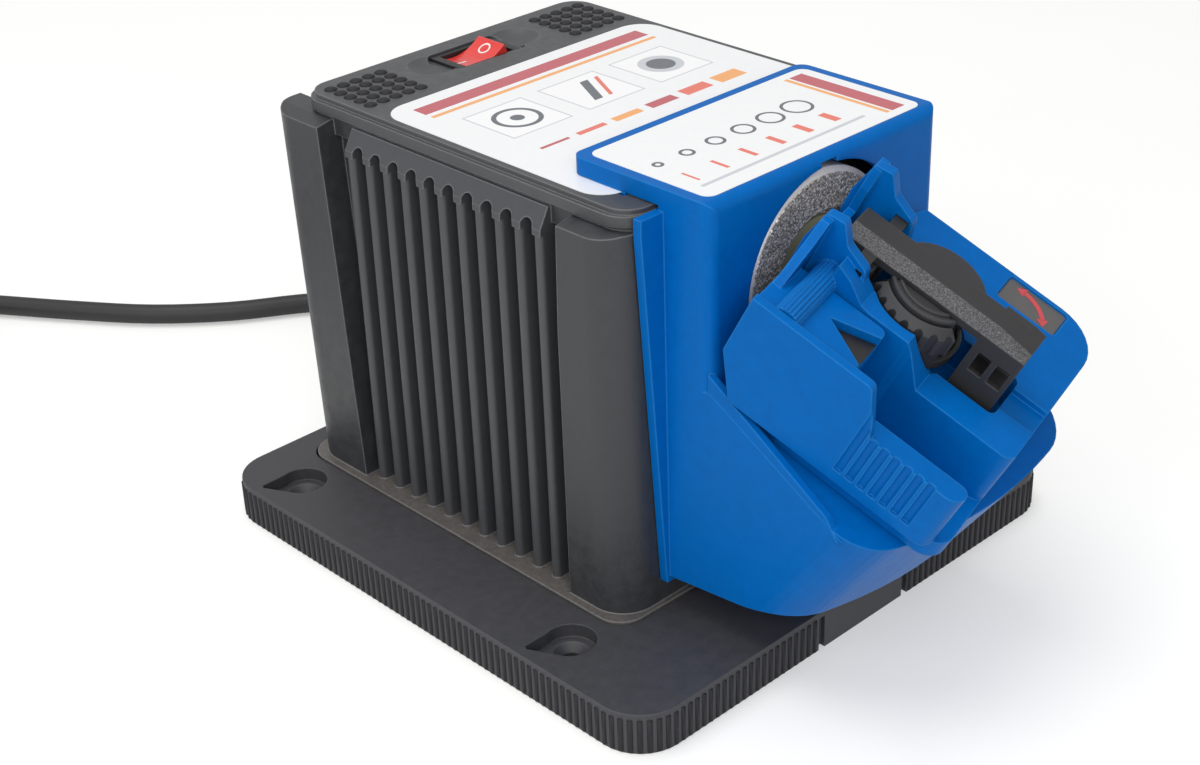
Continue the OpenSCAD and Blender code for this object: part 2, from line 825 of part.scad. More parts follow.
module commutator() {
    color("#b87333")
        difference() {
            rod_y(0, axis_z, comm_r, can_rear - 14, can_rear - 4);
            rod_y(0, axis_z, shaft_d / 2, can_rear - 15, can_rear - 3);
            for (i = [0 : 11])
                translate([0, 0, axis_z])
                    rotate([0, i * 30 + 15, 0])
                        box([comm_r - 0.8, can_rear - 15, -0.25], [comm_r + 1, can_rear - 3, 0.25]);
        }
}

module cooling_fan() {
    color("#d8d8d2")
        difference() {
            union() {
                rod_y(0, axis_z, 6, -17.6, -13);
                rod_y(0, axis_z, 14.5, -14.2, -13);
                for (i = [0 : 8])
                    translate([0, 0, axis_z])
                        rotate([0, i * 40, 0])
                            box([5, -17.6, -0.6], [14.5, -13.5, 0.6]);
            }
            rod_y(0, axis_z, shaft_d / 2, -18, -12);
        }
}

module wheel_flange() {
    color("#8b8f95")
        difference() {
            union() {
                rod_y(0, axis_z, 13, wheel_face + wheel_t, wheel_face + wheel_t + 3);
                rod_y(0, axis_z, 6.5, wheel_face + 4.6, wheel_face + wheel_t + 6);
            }
            rod_y(0, axis_z, shaft_d / 2, wheel_face, wheel_face + wheel_t + 7);
        }
}

module grinding_wheel() {
    f = wheel_face;
    color("#84868a")
        translate([0, 0, axis_z])
            rotate([90, 0, 0])
                rotate_extrude($fn = 96)
                    polygon([[6.5, -f - wheel_t], [wheel_r - 1, -f - wheel_t], [wheel_r, -f - wheel_t + 1],
                        [wheel_r, -f - wheel_bevel], [wheel_r - wheel_bevel, -f], [wheel_face_r, -f],
                        [wheel_face_r - 1.4, -f - 3.2], [6.5, -f - 3.2]]);
}

module wheel_washer() {
    color("#17181a")
        tube_y(0, axis_z, 14.2, 3.1, wheel_face + 1.8, wheel_face + 3.2);
}

module wheel_nut() {
    color("#8f7a3a")
        translate([0, wheel_face + 1.8, axis_z])
            rotate([90, 0, 0])
                difference() {
                    union() {
                        cylinder(r = 9.5, h = 0.8);
                        cylinder(r = 5.2, h = 2.2, $fn = 6);
                    }
                    translate([0, 0, -1])
                        cylinder(d = shaft_d + 0.04, h = 6);
                }
}

// Everything behind the hood face at the two ends of the swing, in the block frame
module swing_relief() {
    for (a = [yaw - swing_left, yaw + swing_right])
        rotate([0, 0, -a])
            rotate([-tilt, 0, 0])
                translate([-100, hood_front - 1 - pivot[1], -100])
                    cube([200, 100, 200]);
}

// Plan of the deck with rounded front corners
module deck_plan(x0, x1, r0, r1) {
    polygon(rounded([[x0, 40], [x0, deck_front], [x1, deck_front], [x1, 40]], [0, r0, r1, 0], 8));
}

// Curb along the left of the cam ring, with a ramp down to the deck at its front
module curb() {
    intersection() {
        translate([0, 0, 5])
            linear_extrude(40)
                difference() {
                    polygon([[wall_x, 20], [-11.1, 20], [-11.1, 8], [-9.5, -6], [-9.5, -11.4],
                        [channel_x, -11.4], [channel_x, -5.6], [wall_x, -3.6]]);
                    circle(ring_r + ring_gap);
                }
        translate([-14, 0, 0])
            across(20)
                polygon([[20, 4], [20, 41], [15.5, 39], [10.5, block_top + 1], [8, block_top + 0.5],
                    [-3.6, block_top + 0.5], [-11.4, deck], [-11.4, 4]]);
    }
}

module drill_block() {
    color("#0a62b4")
        on_block()
            difference() {
                union() {
                    linear_extrude(5.5)
                        polygon(rounded([[-22, 40], [-block_half + 2.5, 8], [-block_half + 2.5, deck_front],
                            [31.8, deck_front], [31.8, 40]], [0, 0, 6, 12, 0], 8));
                    translate([0, 0, 5])
                        linear_extrude(deck - 5)
                            deck_plan(channel_x, block_half, 3, 13);
                    translate([0, 0, 4.5])
                        linear_extrude(deck - 4.5)
                            polygon(rounded([[-block_half, -2], [-block_half, -36.2],
                                [-block_half + grip_w, -36.2], [-block_half + grip_w, -2]], [0, 4, 2.5, 0], 6));
                    translate([0, 0, 4.5])
                        linear_extrude(block_top - 4.5)
                            polygon(rounded([[-block_half, 29.9], [-block_half, block_front], [block_x, block_front],
                                [block_x, 29.9]], [0, 0, 2, 0], 6));
                    box([block_x - 1, block_front + 2, 4.5], [wall_x + 1, 29.9, block_top - 3]);
                    curb();
                    translate([-block_half + 1.25, 0, 0])
                        across(2.5)
                            polygon(rounded(
                                [[29.9, 4.5], [29.9, cheek_top], [-4.4, cheek_top], [-10.6, deck], [-10.6, 4.5]],
                                [0, 0, 2, 1, 0], 4));
                    translate([-37, 21.5, block_top - 0.4])
                        rotate([0, 90, 0])
                            linear_extrude(26.5) {
                                circle(r = 3.3);
                                for (a = [90 : 18 : 270])
                                    translate([3.3 * cos(a), 3.3 * sin(a)])
                                        circle(r = 0.45, $fn = 16);
                            }
                    box([-14, 18.5, deck - 1], [-11.1, 24.5, block_top]);
                    box([-36, 27.2, deck - 1], [30, 29.6, block_top - 0.5]);
                    for (x = [-1, 1]) {
                        translate([x * 12.5, 0, 0])
                            across(2.8)
                                polygon(rounded([[31.4, deck - 1], [31.4, 38], [29.4, ear_top], [24.4, ear_top + 0.8],
                                    [21, 43.4], [14.2, 40.4], [12, 31], [12, deck - 1]], [0, 0, 1, 1, 2, 2, 2, 0], 4));
                        translate([0, 29.6, 0])
                            rotate([90, 0, 0])
                                linear_extrude(2.4)
                                    polygon([[x * 9.6, deck - 1], [x * 9.6, 41], [x * 11, ear_top - 0.6],
                                        [x * 16, ear_top - 0.6], [x * 20, 42], [x * 29, 34], [x * 29, deck - 1]]);
                    }
                }
                translate([-28, 0, block_top - 4])
                    linear_extrude(20)
                        polygon([[-7.64, -2], [7.6, -2], [1.4, 14.2]]);
                for (i = [0 : 6])
                    translate([-block_half - 0.15, -8.5 - 3.3 * i, 8])
                        cylinder(r = 1.15, h = 30, $fn = 16);
                translate([0, 0, web_low - 0.4])
                    difference() {
                        cylinder(r = ring_r + ring_gap, h = 5);
                        translate([0, 0, -1])
                            cylinder(r = hub_r - hub_fit, h = 1 + hub_top - web_low + 0.4);
                    }
                translate([0, 0, -1])
                    cylinder(d = pin_d + 2 * pin_fit, h = 20);
                translate([0, 0, 12.1])
                    cylinder(d = pin_d + 4.8, h = 20);
                translate([0, (bar_front - 11.4) / 2, 13])
                    linear_extrude(20)
                        rrect(2 * (bar_half + 2.3), -10 - bar_front + 1.4, 2);
                box([-drill_half - 0.3, -50, deck - 1.8], [drill_half + 0.3, -25, deck + 5]);
                box([-10.9, 13.4, 16], [10.9, 20.6, deck + 1]);
                box([-10.9, cam_y - 2.3, 16], [10.9, 14, deck + 1]);
                for (x = [-1, 1])
                    box([x * 12.5 - 2, 14.8, bar_low], [x * 12.5 + 2, 18.8, bar_low + 2.2]);
                translate([34.05, -20.3, deck - 0.8])
                    linear_extrude(3)
                        rrect(9.7, 17.8, 1.2);
                swing_relief();
            }
}

// Place of a cam pin in the frame of the ring after the ring has turned by q
function cam_point(s, q) =
    let (x = s * (jaw_open + jaw_t / 2 + cam_rate * q))
    [x * cos(q) + cam_y * sin(q), cam_y * cos(q) - x * sin(q)];

// Cam slot of the jaw on side s: a band along the path of its pin with round ends
module cam_slot(s) {
    r = cam_pin_d / 2 + cam_gap;
    path = [for (i = [-6 : 6]) cam_point(s, ring_turn * i / 6)];
    side = [for (i = [0 : 12]) let (t = unit2(path[min(i + 1, 12)] - path[max(i - 1, 0)]))
        [-t[1], t[0]] * (r - 0.03)];
    polygon(concat([for (i = [0 : 12]) path[i] + side[i]], [for (i = [12 : -1 : 0]) path[i] - side[i]]));
    for (q = [path[0], path[12]])
        translate(q)
            circle(r, $fn = 32);
}

module window_plate() {
    color("#111214")
        on_block()
            translate([-28, 0, block_top - 3.9])
                linear_extrude(1.6)
                    polygon([[-4.95, block_front + 0.2], [5.75, block_front + 0.2], [1.42, 13.2]]);
}

module clamp_ring() {
    color("#17181a")
        on_block()
            difference() {
                rotate_extrude($fn = 72)
                    polygon([[hub_r + hub_fit, web_low], [ring_r - 1.2, web_low], [ring_r - 1.2, rim_low],
                        [ring_r, rim_low + 0.4], [ring_r, rim_top - 0.6], [ring_r - 0.5, rim_top],
                        [disc_r + 0.9, ring_top], [disc_r + 0.6, ring_top], [disc_r + 0.6, web_top],
                        [hub_r + hub_fit, web_top]]);
                for (i = [0 : 21])
                    rotate([0, 0, i * 360 / 22])
                        translate([ring_r + 0.35, 0, rim_low - 1])
                            cylinder(r = 1.25, h = 20, $fn = 20);
                translate([0, 0, retainer_top + 0.25])
                    linear_extrude(20)
                        polygon([[-5.6, 0], [-9, 17.6], [9, 17.6], [5.6, 0], [9, -17.6], [-9, -17.6]]);
                for (s = [-1, 1])
                    translate([0, 0, web_low - 1])
                        linear_extrude(2.8)
                            cam_slot(s);
            }
}

// Disc inside the cam ring, in two halves beside the drill passage; the right half carries a raised plate
module ring_retainer() {
    top = bar_top - 2.4;
    color("#232427")
        on_block() {
            difference() {
                union() {
                    rotate_extrude($fn = 72)
                        polygon([[0, hub_top], [disc_r, hub_top], [disc_r, top - 0.9], [disc_r - 0.3, top - 0.4],
                            [disc_r - 0.9, top - 0.4], [disc_r - 1.1, top - 0.9], [disc_r - 1.5, top - 0.9],
                            [disc_r - 1.8, top], [disc_r - 2.5, top], [disc_r - 2.7, top - 0.4], [0, top - 0.4]]);
                    intersection() {
                        translate([0, 0, ring_top + 0.5])
                            cylinder(r = ring_r - 1.5, h = bar_top - 1.6 - ring_top - 0.5);
                        box([0, -20, 0], [20, 20, 60]);
                    }
                }
                box([-bar_half - 0.3, -20, retainer_top], [bar_half + 0.3, 20, bar_top + 5]);
            }
            translate([0, 0, 18])
                cylinder(d = pin_d + 4.6, h = hub_top - 18);
        }
}

module clamp_frame() {
    color("#17181a")
        on_block()
            difference() {
                union() {
                    translate([0, bar_rear, 0])
                        rotate([90, 0, 0])
                            linear_extrude(bar_rear - bar_front)
                                polygon([[-bar_half, bar_low], [bar_half, bar_low], [bar_half, bar_top - 0.5],
                                    [bar_half - 0.5, bar_top], [-1.2, bar_top], [-bar_half, bar_low + 2.2]]);
                    box([-bar_half, bar_front, 13.2], [bar_half, leg_rear, bar_low + 0.1]);
                    box([bar_half - 0.5, bar_front, bar_low - 2], [bar_half + 1.8, -16.3, bar_top - 0.9]);
                    for (x = [-1, 1])
                        box([x < 0 ? -13.2 : bar_half - 0.5, 15, bar_low + 0.1],
                            [x < 0 ? 0.5 - bar_half : 13.2, 18.6, bar_low + 1.8]);
                }
                box([-drill_half, bar_front - 1, 25.2], [drill_half, leg_rear + 1, bar_low]);
                for (y = [-19.6, -24.9])
                    box([-bar_half - 1, y - 1.85, 28], [-drill_half + 0.5, y + 1.85, 34.4]);
                translate([0, bar_front, bar_top])
                    rotate([8, 0, 0])
                        box([-20, -10, -1.4], [20, 12, 6]);
                for (x = [-1, 1])
                    translate([x * 3.2, (leg_rear + bar_front) / 2, 12])
                        cylinder(d = 2.6, h = 9);
            }
}

module clamp_screws() {
    color("#b4b7ba")
        on_block()
            for (x = [-1, 1])
                translate([x * 3.2, (leg_rear + bar_front) / 2, 13.2])
                    cylinder(d = 2.5, h = 7);
}

// Jaw on the side given by s: a foot in the cross slot, an upright and a cam pin
module jaw(s) {
    color("#2c2e31")
        on_block()
            mirror([s < 0 ? 1 : 0, 0, 0])
                translate([jaw_open, 0, 0]) {
                    difference() {
                        union() {
                            box([0, 13.8, 16.4], [jaw_t, 20.2, bar_low - 0.4]);
                            box([0, 13.8, deck + 1.5], [jaw_t, 23.8, bar_low - 0.4]);
                        }
                        translate([0, 13, drill_w])
                            rotate([-90, 0, 0])
                                cylinder(r = 1.2, h = 14, $fn = 4);
                    }
                    box([1, cam_y - 1.9, 16.6], [jaw_t - 1, 14, 20.9]);
                    translate([jaw_t / 2, cam_y, 20])
                        cylinder(d = cam_pin_d, h = 3.8);
                }
}

module jaw_left() {
    jaw(-1);
}

module jaw_right() {
    jaw(1);
}

// Cord coil on the floor: middle, first radius, first angle, pitch and turns
coil_mid = [-143, 260];
coil_z = 4.6;
coil_r = 53;
coil_a = 55;
coil_pitch = 7.8;
coil_lift = 7.7;
coil_turns = 6.25;
coil_back = 3.25;
coil_steps = 24;
// Place of the coil after a number of turns, spiralling in and out again over two layers
function coil_radius(t) = coil_r - coil_pitch * (t < coil_back ? t : 2 * coil_back - t);
function ease(t) = t <= 0 ? 0 : t >= 1 ? 1 : t * t * (3 - 2 * t);
function coil_point(t) = [
    coil_mid[0] + coil_radius(t) * cos(coil_a + 360 * t),
    coil_mid[1] + coil_radius(t) * sin(coil_a + 360 * t),
    coil_z + coil_lift * ease((t - coil_back + 0.25) / 0.5)];
coil_loops = [for (i = [0 : coil_turns * coil_steps]) coil_point(i / coil_steps)];
coil_in = coil_loops[0] - cord_d * unit3(coil_loops[1] - coil_loops[0]);
coil_out = coil_loops[len(coil_loops) - 1]
    + cord_d * unit3(coil_loops[len(coil_loops) - 1] - coil_loops[len(coil_loops) - 2]);
coil_path = concat([coil_in], coil_loops, [coil_out]);
coil_gap = min([for (i = [0 : len(coil_loops) - 1], j = [i + 12 : 1 : len(coil_loops) - 1])
    norm(coil_loops[i] - coil_loops[j])]) - cord_d;
echo(least_gap_in_the_coil = coil_gap);
// Cord route from the outlet over the floor to the coil, each point by hand
cord_path = [[36, 54, 24], [36, 66, 24], [36, 80, 24], [36, 96, 24], [36, 107, 23.8], [36, 120, 20],
    [35, 131, 14.5],
    [33, 143, 8.4], [29, 154, 4.8], [22, 164.5, 3.7], [8, 176, 3.7], [-13, 190, 3.7], [-33, 209, 3.7],
    [-50, 232, 3.7], [-66, 256, 3.7], [-79, 275, 3.8], [-93, 289, 4.4],
    coil_in - 3 * unit3(coil_loops[0] - coil_in), coil_in];
// Plug beside the coil and the cord that runs into it
plug_a = 213;
plug_at = [-199.5, 226, 7];
plug_dir = [-sin(plug_a), cos(plug_a), 0];
tail_path = [coil_out, coil_out + 3 * unit3(coil_out - coil_loops[len(coil_loops) - 1]),
    [-195.5, 274, 11.7], [-201.5, 262, 10.2], [-204.2, 249, 8.4], [-203.2, 237, 7.3], plug_at,
    plug_at + 14 * plug_dir];

module power_cord() {
    color("#141414")
        sweep(cord_path, cord_d / 2, 10);
}

function cross3(a, b) = [a[1] * b[2] - a[2] * b[1], a[2] * b[0] - a[0] * b[2], a[0] * b[1] - a[1] * b[0]];
function unit3(a) = a / norm(a);
// Direction of a path at a point
function heading(p, i) = unit3(p[min(i + 1, len(p) - 1)] - p[max(i - 1, 0)]);

// Round tube along a path that never runs straight up
module sweep(p, r, sides) {
    n = len(p);
    pts = [for (i = [0 : n - 1])
        let (t = heading(p, i), a = unit3(cross3([0, 0, 1], t)), b = cross3(t, a))
        for (k = [0 : sides - 1])
            p[i] + r * (cos(360 * k / sides) * a + sin(360 * k / sides) * b)];
    walls = [for (i = [0 : n - 2], k = [0 : sides - 1])
        [i * sides + k, i * sides + (k + 1) % sides, (i + 1) * sides + (k + 1) % sides, (i + 1) * sides + k]];
    ends = [[for (k = [0 : sides - 1]) sides - 1 - k], [for (k = [0 : sides - 1]) (n - 1) * sides + k]];
    polyhedron(pts, [for (f = concat(walls, ends)) [for (k = [len(f) - 1 : -1 : 0]) f[k]]]);
}

module cord_coil() {
    color("#141414")
        sweep(coil_path, cord_d / 2, 6);
}

module cord_tail() {
    color("#141414")
        sweep(tail_path, cord_d / 2, 10);
}

module cord_tie() {
    high = coil_lift + cord_d + 1.2;
    color("#222222")
        translate([coil_mid[0], coil_mid[1], 0])
            rotate([0, 0, 300])
                translate([37.4, 4, 0.1 + (high + 1.8) / 2])
                    rotate([90, 0, 0])
                        linear_extrude(8)
                            difference() {
                                rrect(36, high + 1.8, 5);
                                rrect(34.2, high, 4.1);
                            }
}

module mains_plug() {
    color("#161616")
        translate(plug_at)
            rotate([0, 0, plug_a])
                difference() {
                    union() {
                        translate([0, 6, 0])
                            rotate([-90, 0, 0])
                                cylinder(r1 = 4.6, r2 = 6, h = 20);
                        translate([0, 0, -6.8])
                            linear_extrude(13.6)
                                polygon(rounded([[-7, 24], [7, 24], [17.6, 38], [17.6, 57], [-17.6, 57], [-17.6, 38]],
                                    [3, 3, 8, 2, 2, 8], 6));
                    }
                    translate([0, 5, 0])
                        rotate([-90, 0, 0])
                            cylinder(r = cord_d / 2 + 0.15, h = 12);
                }
}

module plug_pins() {
    color("#c9b26a")
        translate(plug_at)
            rotate([0, 0, plug_a])
                for (x = [-9.3, 9.3])
                    translate([x, 57, 0])
                        rotate([-90, 0, 0])
                            cylinder(d = 4, h = 19, $fn = 24);
}

base_plate();
rubber_feet();
base_screws();
housing();
switch_body();
switch_terminals();
switch_rocker();
motor_can();
motor_magnets();
motor_end_bell();
motor_brushes();
front_bearing();
rear_bearing();
motor_bracket();
motor_cradle();
motor_screws();
rectifier_board();
board_parts();
cord_gland();
cord_clamp();
head_cover();
head_lugs();
swing_pin();
motor_shaft();
armature_core();
armature_windings();
commutator();
cooling_fan();
wheel_flange();
grinding_wheel();
wheel_washer();
wheel_nut();
drill_block();
window_plate();
clamp_ring();
ring_retainer();
clamp_frame();
clamp_screws();
jaw_left();
jaw_right();
power_cord();
cord_coil();
cord_tail();
cord_tie();
mains_plug();
plug_pins();
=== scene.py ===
# %% [markdown]
# # Bench sharpener with a drill-bit head
# A black motor housing stands on a ribbed base plate, and a blue head with a swinging drill block covers
# its wheel. The solids come from the construction model and are already in place, so this lesson is about
# what solids alone don't show: the lead on the table, moulded and ground surfaces, labels, light and camera.
# Everything sits where the construction model says. Blender works in metres, and lengths that are handier in
# millimetres are turned into metres by MM.

# %% Load the frame
import math

import bmesh
import bpy
from mathutils import Matrix, Vector


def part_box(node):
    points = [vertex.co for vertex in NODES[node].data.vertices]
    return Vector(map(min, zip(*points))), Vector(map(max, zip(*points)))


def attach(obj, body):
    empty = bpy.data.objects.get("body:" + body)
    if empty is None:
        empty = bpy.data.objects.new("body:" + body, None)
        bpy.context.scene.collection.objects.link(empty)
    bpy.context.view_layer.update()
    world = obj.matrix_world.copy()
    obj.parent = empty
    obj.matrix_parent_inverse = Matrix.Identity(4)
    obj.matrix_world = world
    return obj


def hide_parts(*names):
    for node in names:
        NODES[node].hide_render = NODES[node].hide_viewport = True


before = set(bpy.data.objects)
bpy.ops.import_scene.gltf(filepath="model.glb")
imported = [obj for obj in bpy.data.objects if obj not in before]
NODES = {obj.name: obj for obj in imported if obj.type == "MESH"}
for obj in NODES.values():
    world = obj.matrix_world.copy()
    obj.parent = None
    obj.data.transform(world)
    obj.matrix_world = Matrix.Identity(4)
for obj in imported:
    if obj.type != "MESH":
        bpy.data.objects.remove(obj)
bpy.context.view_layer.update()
MM = 0.001
scene = bpy.context.scene

# %% [markdown]
# ## The camera
# The picture was taken from the front left and a little above. A camera is a place and three axes: right, up
# and back. Typing in an aim point and a tilt would do too, but the axes carry the small roll of the picture
# as well. The lens is the focal length in pixels, turned into millimetres on a sensor 36 mm wide.

# %% Camera
EYE = Vector((-0.35605, -0.36838, 0.32409))
FOCAL_PX, PICTURE_PX, SENSOR = 2028.9, 1200, 36
back = Vector((-0.5971, -0.6402, 0.4834)).normalized()
right = Vector((0.7185, -0.6948, -0.0328))
right = (right - back * right.dot(back)).normalized()
up = back.cross(right)
cam_data = bpy.data.cameras.new("picture_camera")
cam_data.sensor_width = SENSOR
cam_data.lens = SENSOR * FOCAL_PX / PICTURE_PX
cam_data.clip_start, cam_data.clip_end = 0.01, 30
camera = bpy.data.objects.new("picture_camera", cam_data)
camera.matrix_world = Matrix((right, up, back)).transposed().to_4x4()
camera.matrix_world.translation = EYE
scene.collection.objects.link(camera)
scene.camera = camera
print("camera lens", round(cam_data.lens, 2), "mm")

# %% [markdown]
# ## The mains lead
# The lead is a fixed length of rubber cable. It leaves the back wall straight, bends down under its own
# weight, runs along the table and ends in a tied coil outside the picture, with the plug beside it. A curve
# with a round bevel is the natural way to draw it, because the length is then simply the length of the line.
# The points are those of the construction model, in millimetres, and a smooth line is drawn through them. The
# radius of the cable is set on its points, with a bevel of 1, because Blender takes the box of a curve from
# the radius of its points.

# %% Coil of the lead
LEAD_R = 3.5
COIL_MID, COIL_R, COIL_START, COIL_PITCH = (-143, 260), 53, 55, 7.8
COIL_Z, COIL_LIFT, COIL_TURNS, COIL_BACK = 4.6, 7.7, 6.25, 3.25
CLIMB_TURNS, TURN_STEPS = 0.5, 24


def coil_point(t):
    """A point of the coil after t turns: in to the middle on the table, then out again on top."""
    r = COIL_R - COIL_PITCH * (t if t < COIL_BACK else 2 * COIL_BACK - t)
    a = math.radians(COIL_START + 360 * t)
    k = min(max((t - COIL_BACK + CLIMB_TURNS / 2) / CLIMB_TURNS, 0), 1)
    z = COIL_Z + COIL_LIFT * k * k * (3 - 2 * k)
    return Vector((COIL_MID[0] + r * math.cos(a), COIL_MID[1] + r * math.sin(a), z))


loops = [coil_point(i / TURN_STEPS) for i in range(int(COIL_TURNS * TURN_STEPS) + 1)]
print("coil of", COIL_TURNS, "turns,", len(loops), "points")

# %% Route of the lead
RUN = [(36, 54, 24), (36, 66, 24), (36, 80, 24), (36, 96, 24), (36, 107, 23.8), (36, 120, 20),
       (35, 131, 14.5), (33, 143, 8.4), (29, 154, 4.8), (22, 164.5, 3.7), (8, 176, 3.7), (-13, 190, 3.7),
       (-33, 209, 3.7), (-50, 232, 3.7), (-66, 256, 3.7), (-79, 275, 3.8), (-93, 289, 4.4)]
TAIL = [(-195.5, 274, 11.7), (-201.5, 262, 10.2), (-204.2, 249, 8.4), (-203.2, 237, 7.3)]
PLUG_AT, PLUG_TURN, PLUG_DEPTH = Vector((-199.5, 226, 7)), math.radians(213), 14
EASE = 3
coil_in = loops[0] - (loops[1] - loops[0]).normalized() * 2 * LEAD_R
coil_out = loops[-1] + (loops[-1] - loops[-2]).normalized() * 2 * LEAD_R
lead_in = coil_in - EASE * (loops[0] - coil_in).normalized()
lead_out = coil_out + EASE * (coil_out - loops[-1]).normalized()
plug_dir = Vector((-math.sin(PLUG_TURN), math.cos(PLUG_TURN), 0))
route = [*map(Vector, RUN), lead_in, coil_in, *loops, coil_out, lead_out, *map(Vector, TAIL)]
route += [PLUG_AT, PLUG_AT + PLUG_DEPTH * plug_dir]
print("route of", len(route), "points")

# %% Smooth line
POINT_STEPS = 4


def smooth_line(points, steps):
    """A line that passes through all the points, with steps pieces between each two (Catmull-Rom)."""
    ends = [2 * points[0] - points[1]] + points + [2 * points[-1] - points[-2]]
    line = []
    for a, b, c, d in zip(ends, ends[1:], ends[2:], ends[3:]):
        for i in range(steps):
            t = i / steps
            line.append(0.5 * (2 * b + (c - a) * t + (2 * a - 5 * b + 4 * c - d) * t * t
                               + (3 * b - a - 3 * c + d) * t ** 3))
    return line + [points[-1]]


line = [p * MM for p in smooth_line(route, POINT_STEPS)]
lead_length = sum((b - a).length for a, b in zip(line, line[1:]))
print("line of", len(line), "points")

# %% Lead as one curve
lead_curve = bpy.data.curves.new("mains_lead", "CURVE")
lead_curve.dimensions = "3D"
lead_curve.bevel_depth = 1
lead_curve.bevel_resolution = 4
lead_curve.use_fill_caps = True
strand = lead_curve.splines.new("POLY")
strand.points.add(len(line) - 1)
for point, place in zip(strand.points, line):
    point.co, point.radius = (*place, 1), LEAD_R * MM
strand.use_smooth = True
lead = bpy.data.objects.new("mains_lead", lead_curve)
scene.collection.objects.link(lead)
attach(lead, "frame")
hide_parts("power_cord", "cord_coil", "cord_tail")
print("lead", round(lead_length, 3), "m long")

# %% [markdown]
# ## A short way to write shader nodes
# A finish is a tree of small nodes. Drawing it by hand is fine for one finish, but here there are more than
# a dozen. So one class stands for a socket: adding, multiplying or comparing two of them adds a Math node,
# and one method adds any other node from its type, its settings and the values or links of its sockets.

# %% Sockets with operators


class Wire:
    """A socket in a node tree that can be used in Python expressions."""

    def __init__(self, tree, out=None):
        self.tree, self.out = tree, out

    def node(self, kind, settings=None, sockets=None, out=0):
        """Adds a node, makes its settings, fills or links its sockets, and gives one of its outputs."""
        made = self.tree.nodes.new(kind)
        for key, value in (settings or {}).items():
            if key == "stops":
                ramp = made.color_ramp
                while len(ramp.elements) < len(value):
                    ramp.elements.new(0.5)
                for stop, (place, colour) in zip(ramp.elements, value):
                    stop.position, stop.color = place, colour
            else:
                setattr(made, key, value)
        for key, value in (sockets or {}).items():
            if isinstance(value, Wire):
                self.tree.links.new(value.out, made.inputs[key])
            else:
                made.inputs[key].default_value = value
        return Wire(self.tree, made.outputs[out])

    def math(self, operation, a, b=0.0):
        return self.node("ShaderNodeMath", {"operation": operation}, {0: a, 1: b})

    def __add__(self, other): return self.math("ADD", self, other)
    def __radd__(self, other): return self.math("ADD", other, self)
    def __sub__(self, other): return self.math("SUBTRACT", self, other)
    def __rsub__(self, other): return self.math("SUBTRACT", other, self)
    def __mul__(self, other): return self.math("MULTIPLY", self, other)
    def __rmul__(self, other): return self.math("MULTIPLY", other, self)
    def __truediv__(self, other): return self.math("DIVIDE", self, other)
    def __pow__(self, other): return self.math("POWER", self, other)
    def __lt__(self, other): return self.math("LESS_THAN", self, other)
    def __gt__(self, other): return self.math("GREATER_THAN", self, other)
    def __abs__(self): return self.math("ABSOLUTE", self)

    def both(self, other): return self.math("MINIMUM", self, other)
    def either(self, other): return self.math("MAXIMUM", self, other)

    def parts(self):
        """The x, y and z of a vector."""
        split = self.node("ShaderNodeSeparateXYZ", None, {0: self}).out.node
        return [Wire(self.tree, out) for out in split.outputs]


print("sockets can be added, multiplied and compared")

# %% Colours


def srgb(r, g, b):
    """A colour as an image editor names it (0 to 255), in the linear numbers that Blender mixes."""
    lin = [c / 12.92 if c <= 0.04045 else ((c + 0.055) / 1.055) ** 2.4 for c in (r / 255, g / 255, b / 255)]
    return (*lin, 1.0)


def tint(colour, by):
    """A colour made darker or lighter."""
    return (*(min(c * by, 1) for c in colour[:3]), 1)


HEAD_BLUE = srgb(0, 103, 186)
print("blue of the head in linear numbers:", [round(c, 3) for c in HEAD_BLUE])

# %% Parts of a finish


def new_finish(name):
    """An empty finish: its material, a Wire on its tree, its main shader and the place on the piece."""
    mat = bpy.data.materials.new(name)
    mat.use_nodes = True
    wire = Wire(mat.node_tree)
    place = wire.node("ShaderNodeTexCoord", out="Object")
    return mat, wire, mat.node_tree.nodes["Principled BSDF"], place


def plug_in(wire, shader, **sockets):
    """Links or sets sockets of the main shader by their names, with _ for a space."""
    for key, value in sockets.items():
        socket = shader.inputs[key.replace("_", " ")]
        if isinstance(value, Wire):
            wire.tree.links.new(value.out, socket)
        else:
            socket.default_value = value


def blend_colours(wire, factor, a, b):
    """Colour a where factor is 0, colour b where it is 1."""
    return wire.node("ShaderNodeMix", {"data_type": "RGBA"}, {0: factor, 6: a, 7: b}, out=2)


def speckle(wire, place, scale, detail=2.0, rough=0.5):
    """Cloudy noise from 0 to 1, with about scale spots in a metre."""
    return wire.node("ShaderNodeTexNoise", None,
                     {"Vector": place, "Scale": scale, "Detail": detail, "Roughness": rough})


def relief(wire, strength, depth, height, **more):
    """Small bumps of this depth in metres."""
    return wire.node("ShaderNodeBump", None,
                     {"Strength": strength, "Distance": depth, "Height": height, **more})


print("helpers for finishes are ready")

# %% [markdown]
# ## Moulded plastic
# Most of the tool is injection-moulded plastic. Up close it isn't one colour: the mould leaves a fine grain,
# blotches and clouds of gloss where the plastic flowed. The rounded edges carry a painted highlight in a
# lighter tone. One function makes all of these finishes, with grain size, gloss and edge radius as its
# choices.
# The Bevel node rounds the edges in the shading only, so the solids stay exactly as they were made. Some
# places have a tone of their own, such as the dusty foot of the housing, and the lighter top and ribs of the
# housing are painted light: a patch is a function of the place that gives how much of the other tone is seen
# there. The drill block leans and is turned, so its patches and marks are laid out in the frame of the block.

# %% Function for moulded plastic
DARKER, LIGHTER = 0.82, 1.22
CLOUDS, BLOTCHES = 28.0, 260.0
FLAT_COS, HIGHLIGHT_COS = 0.999, 0.86


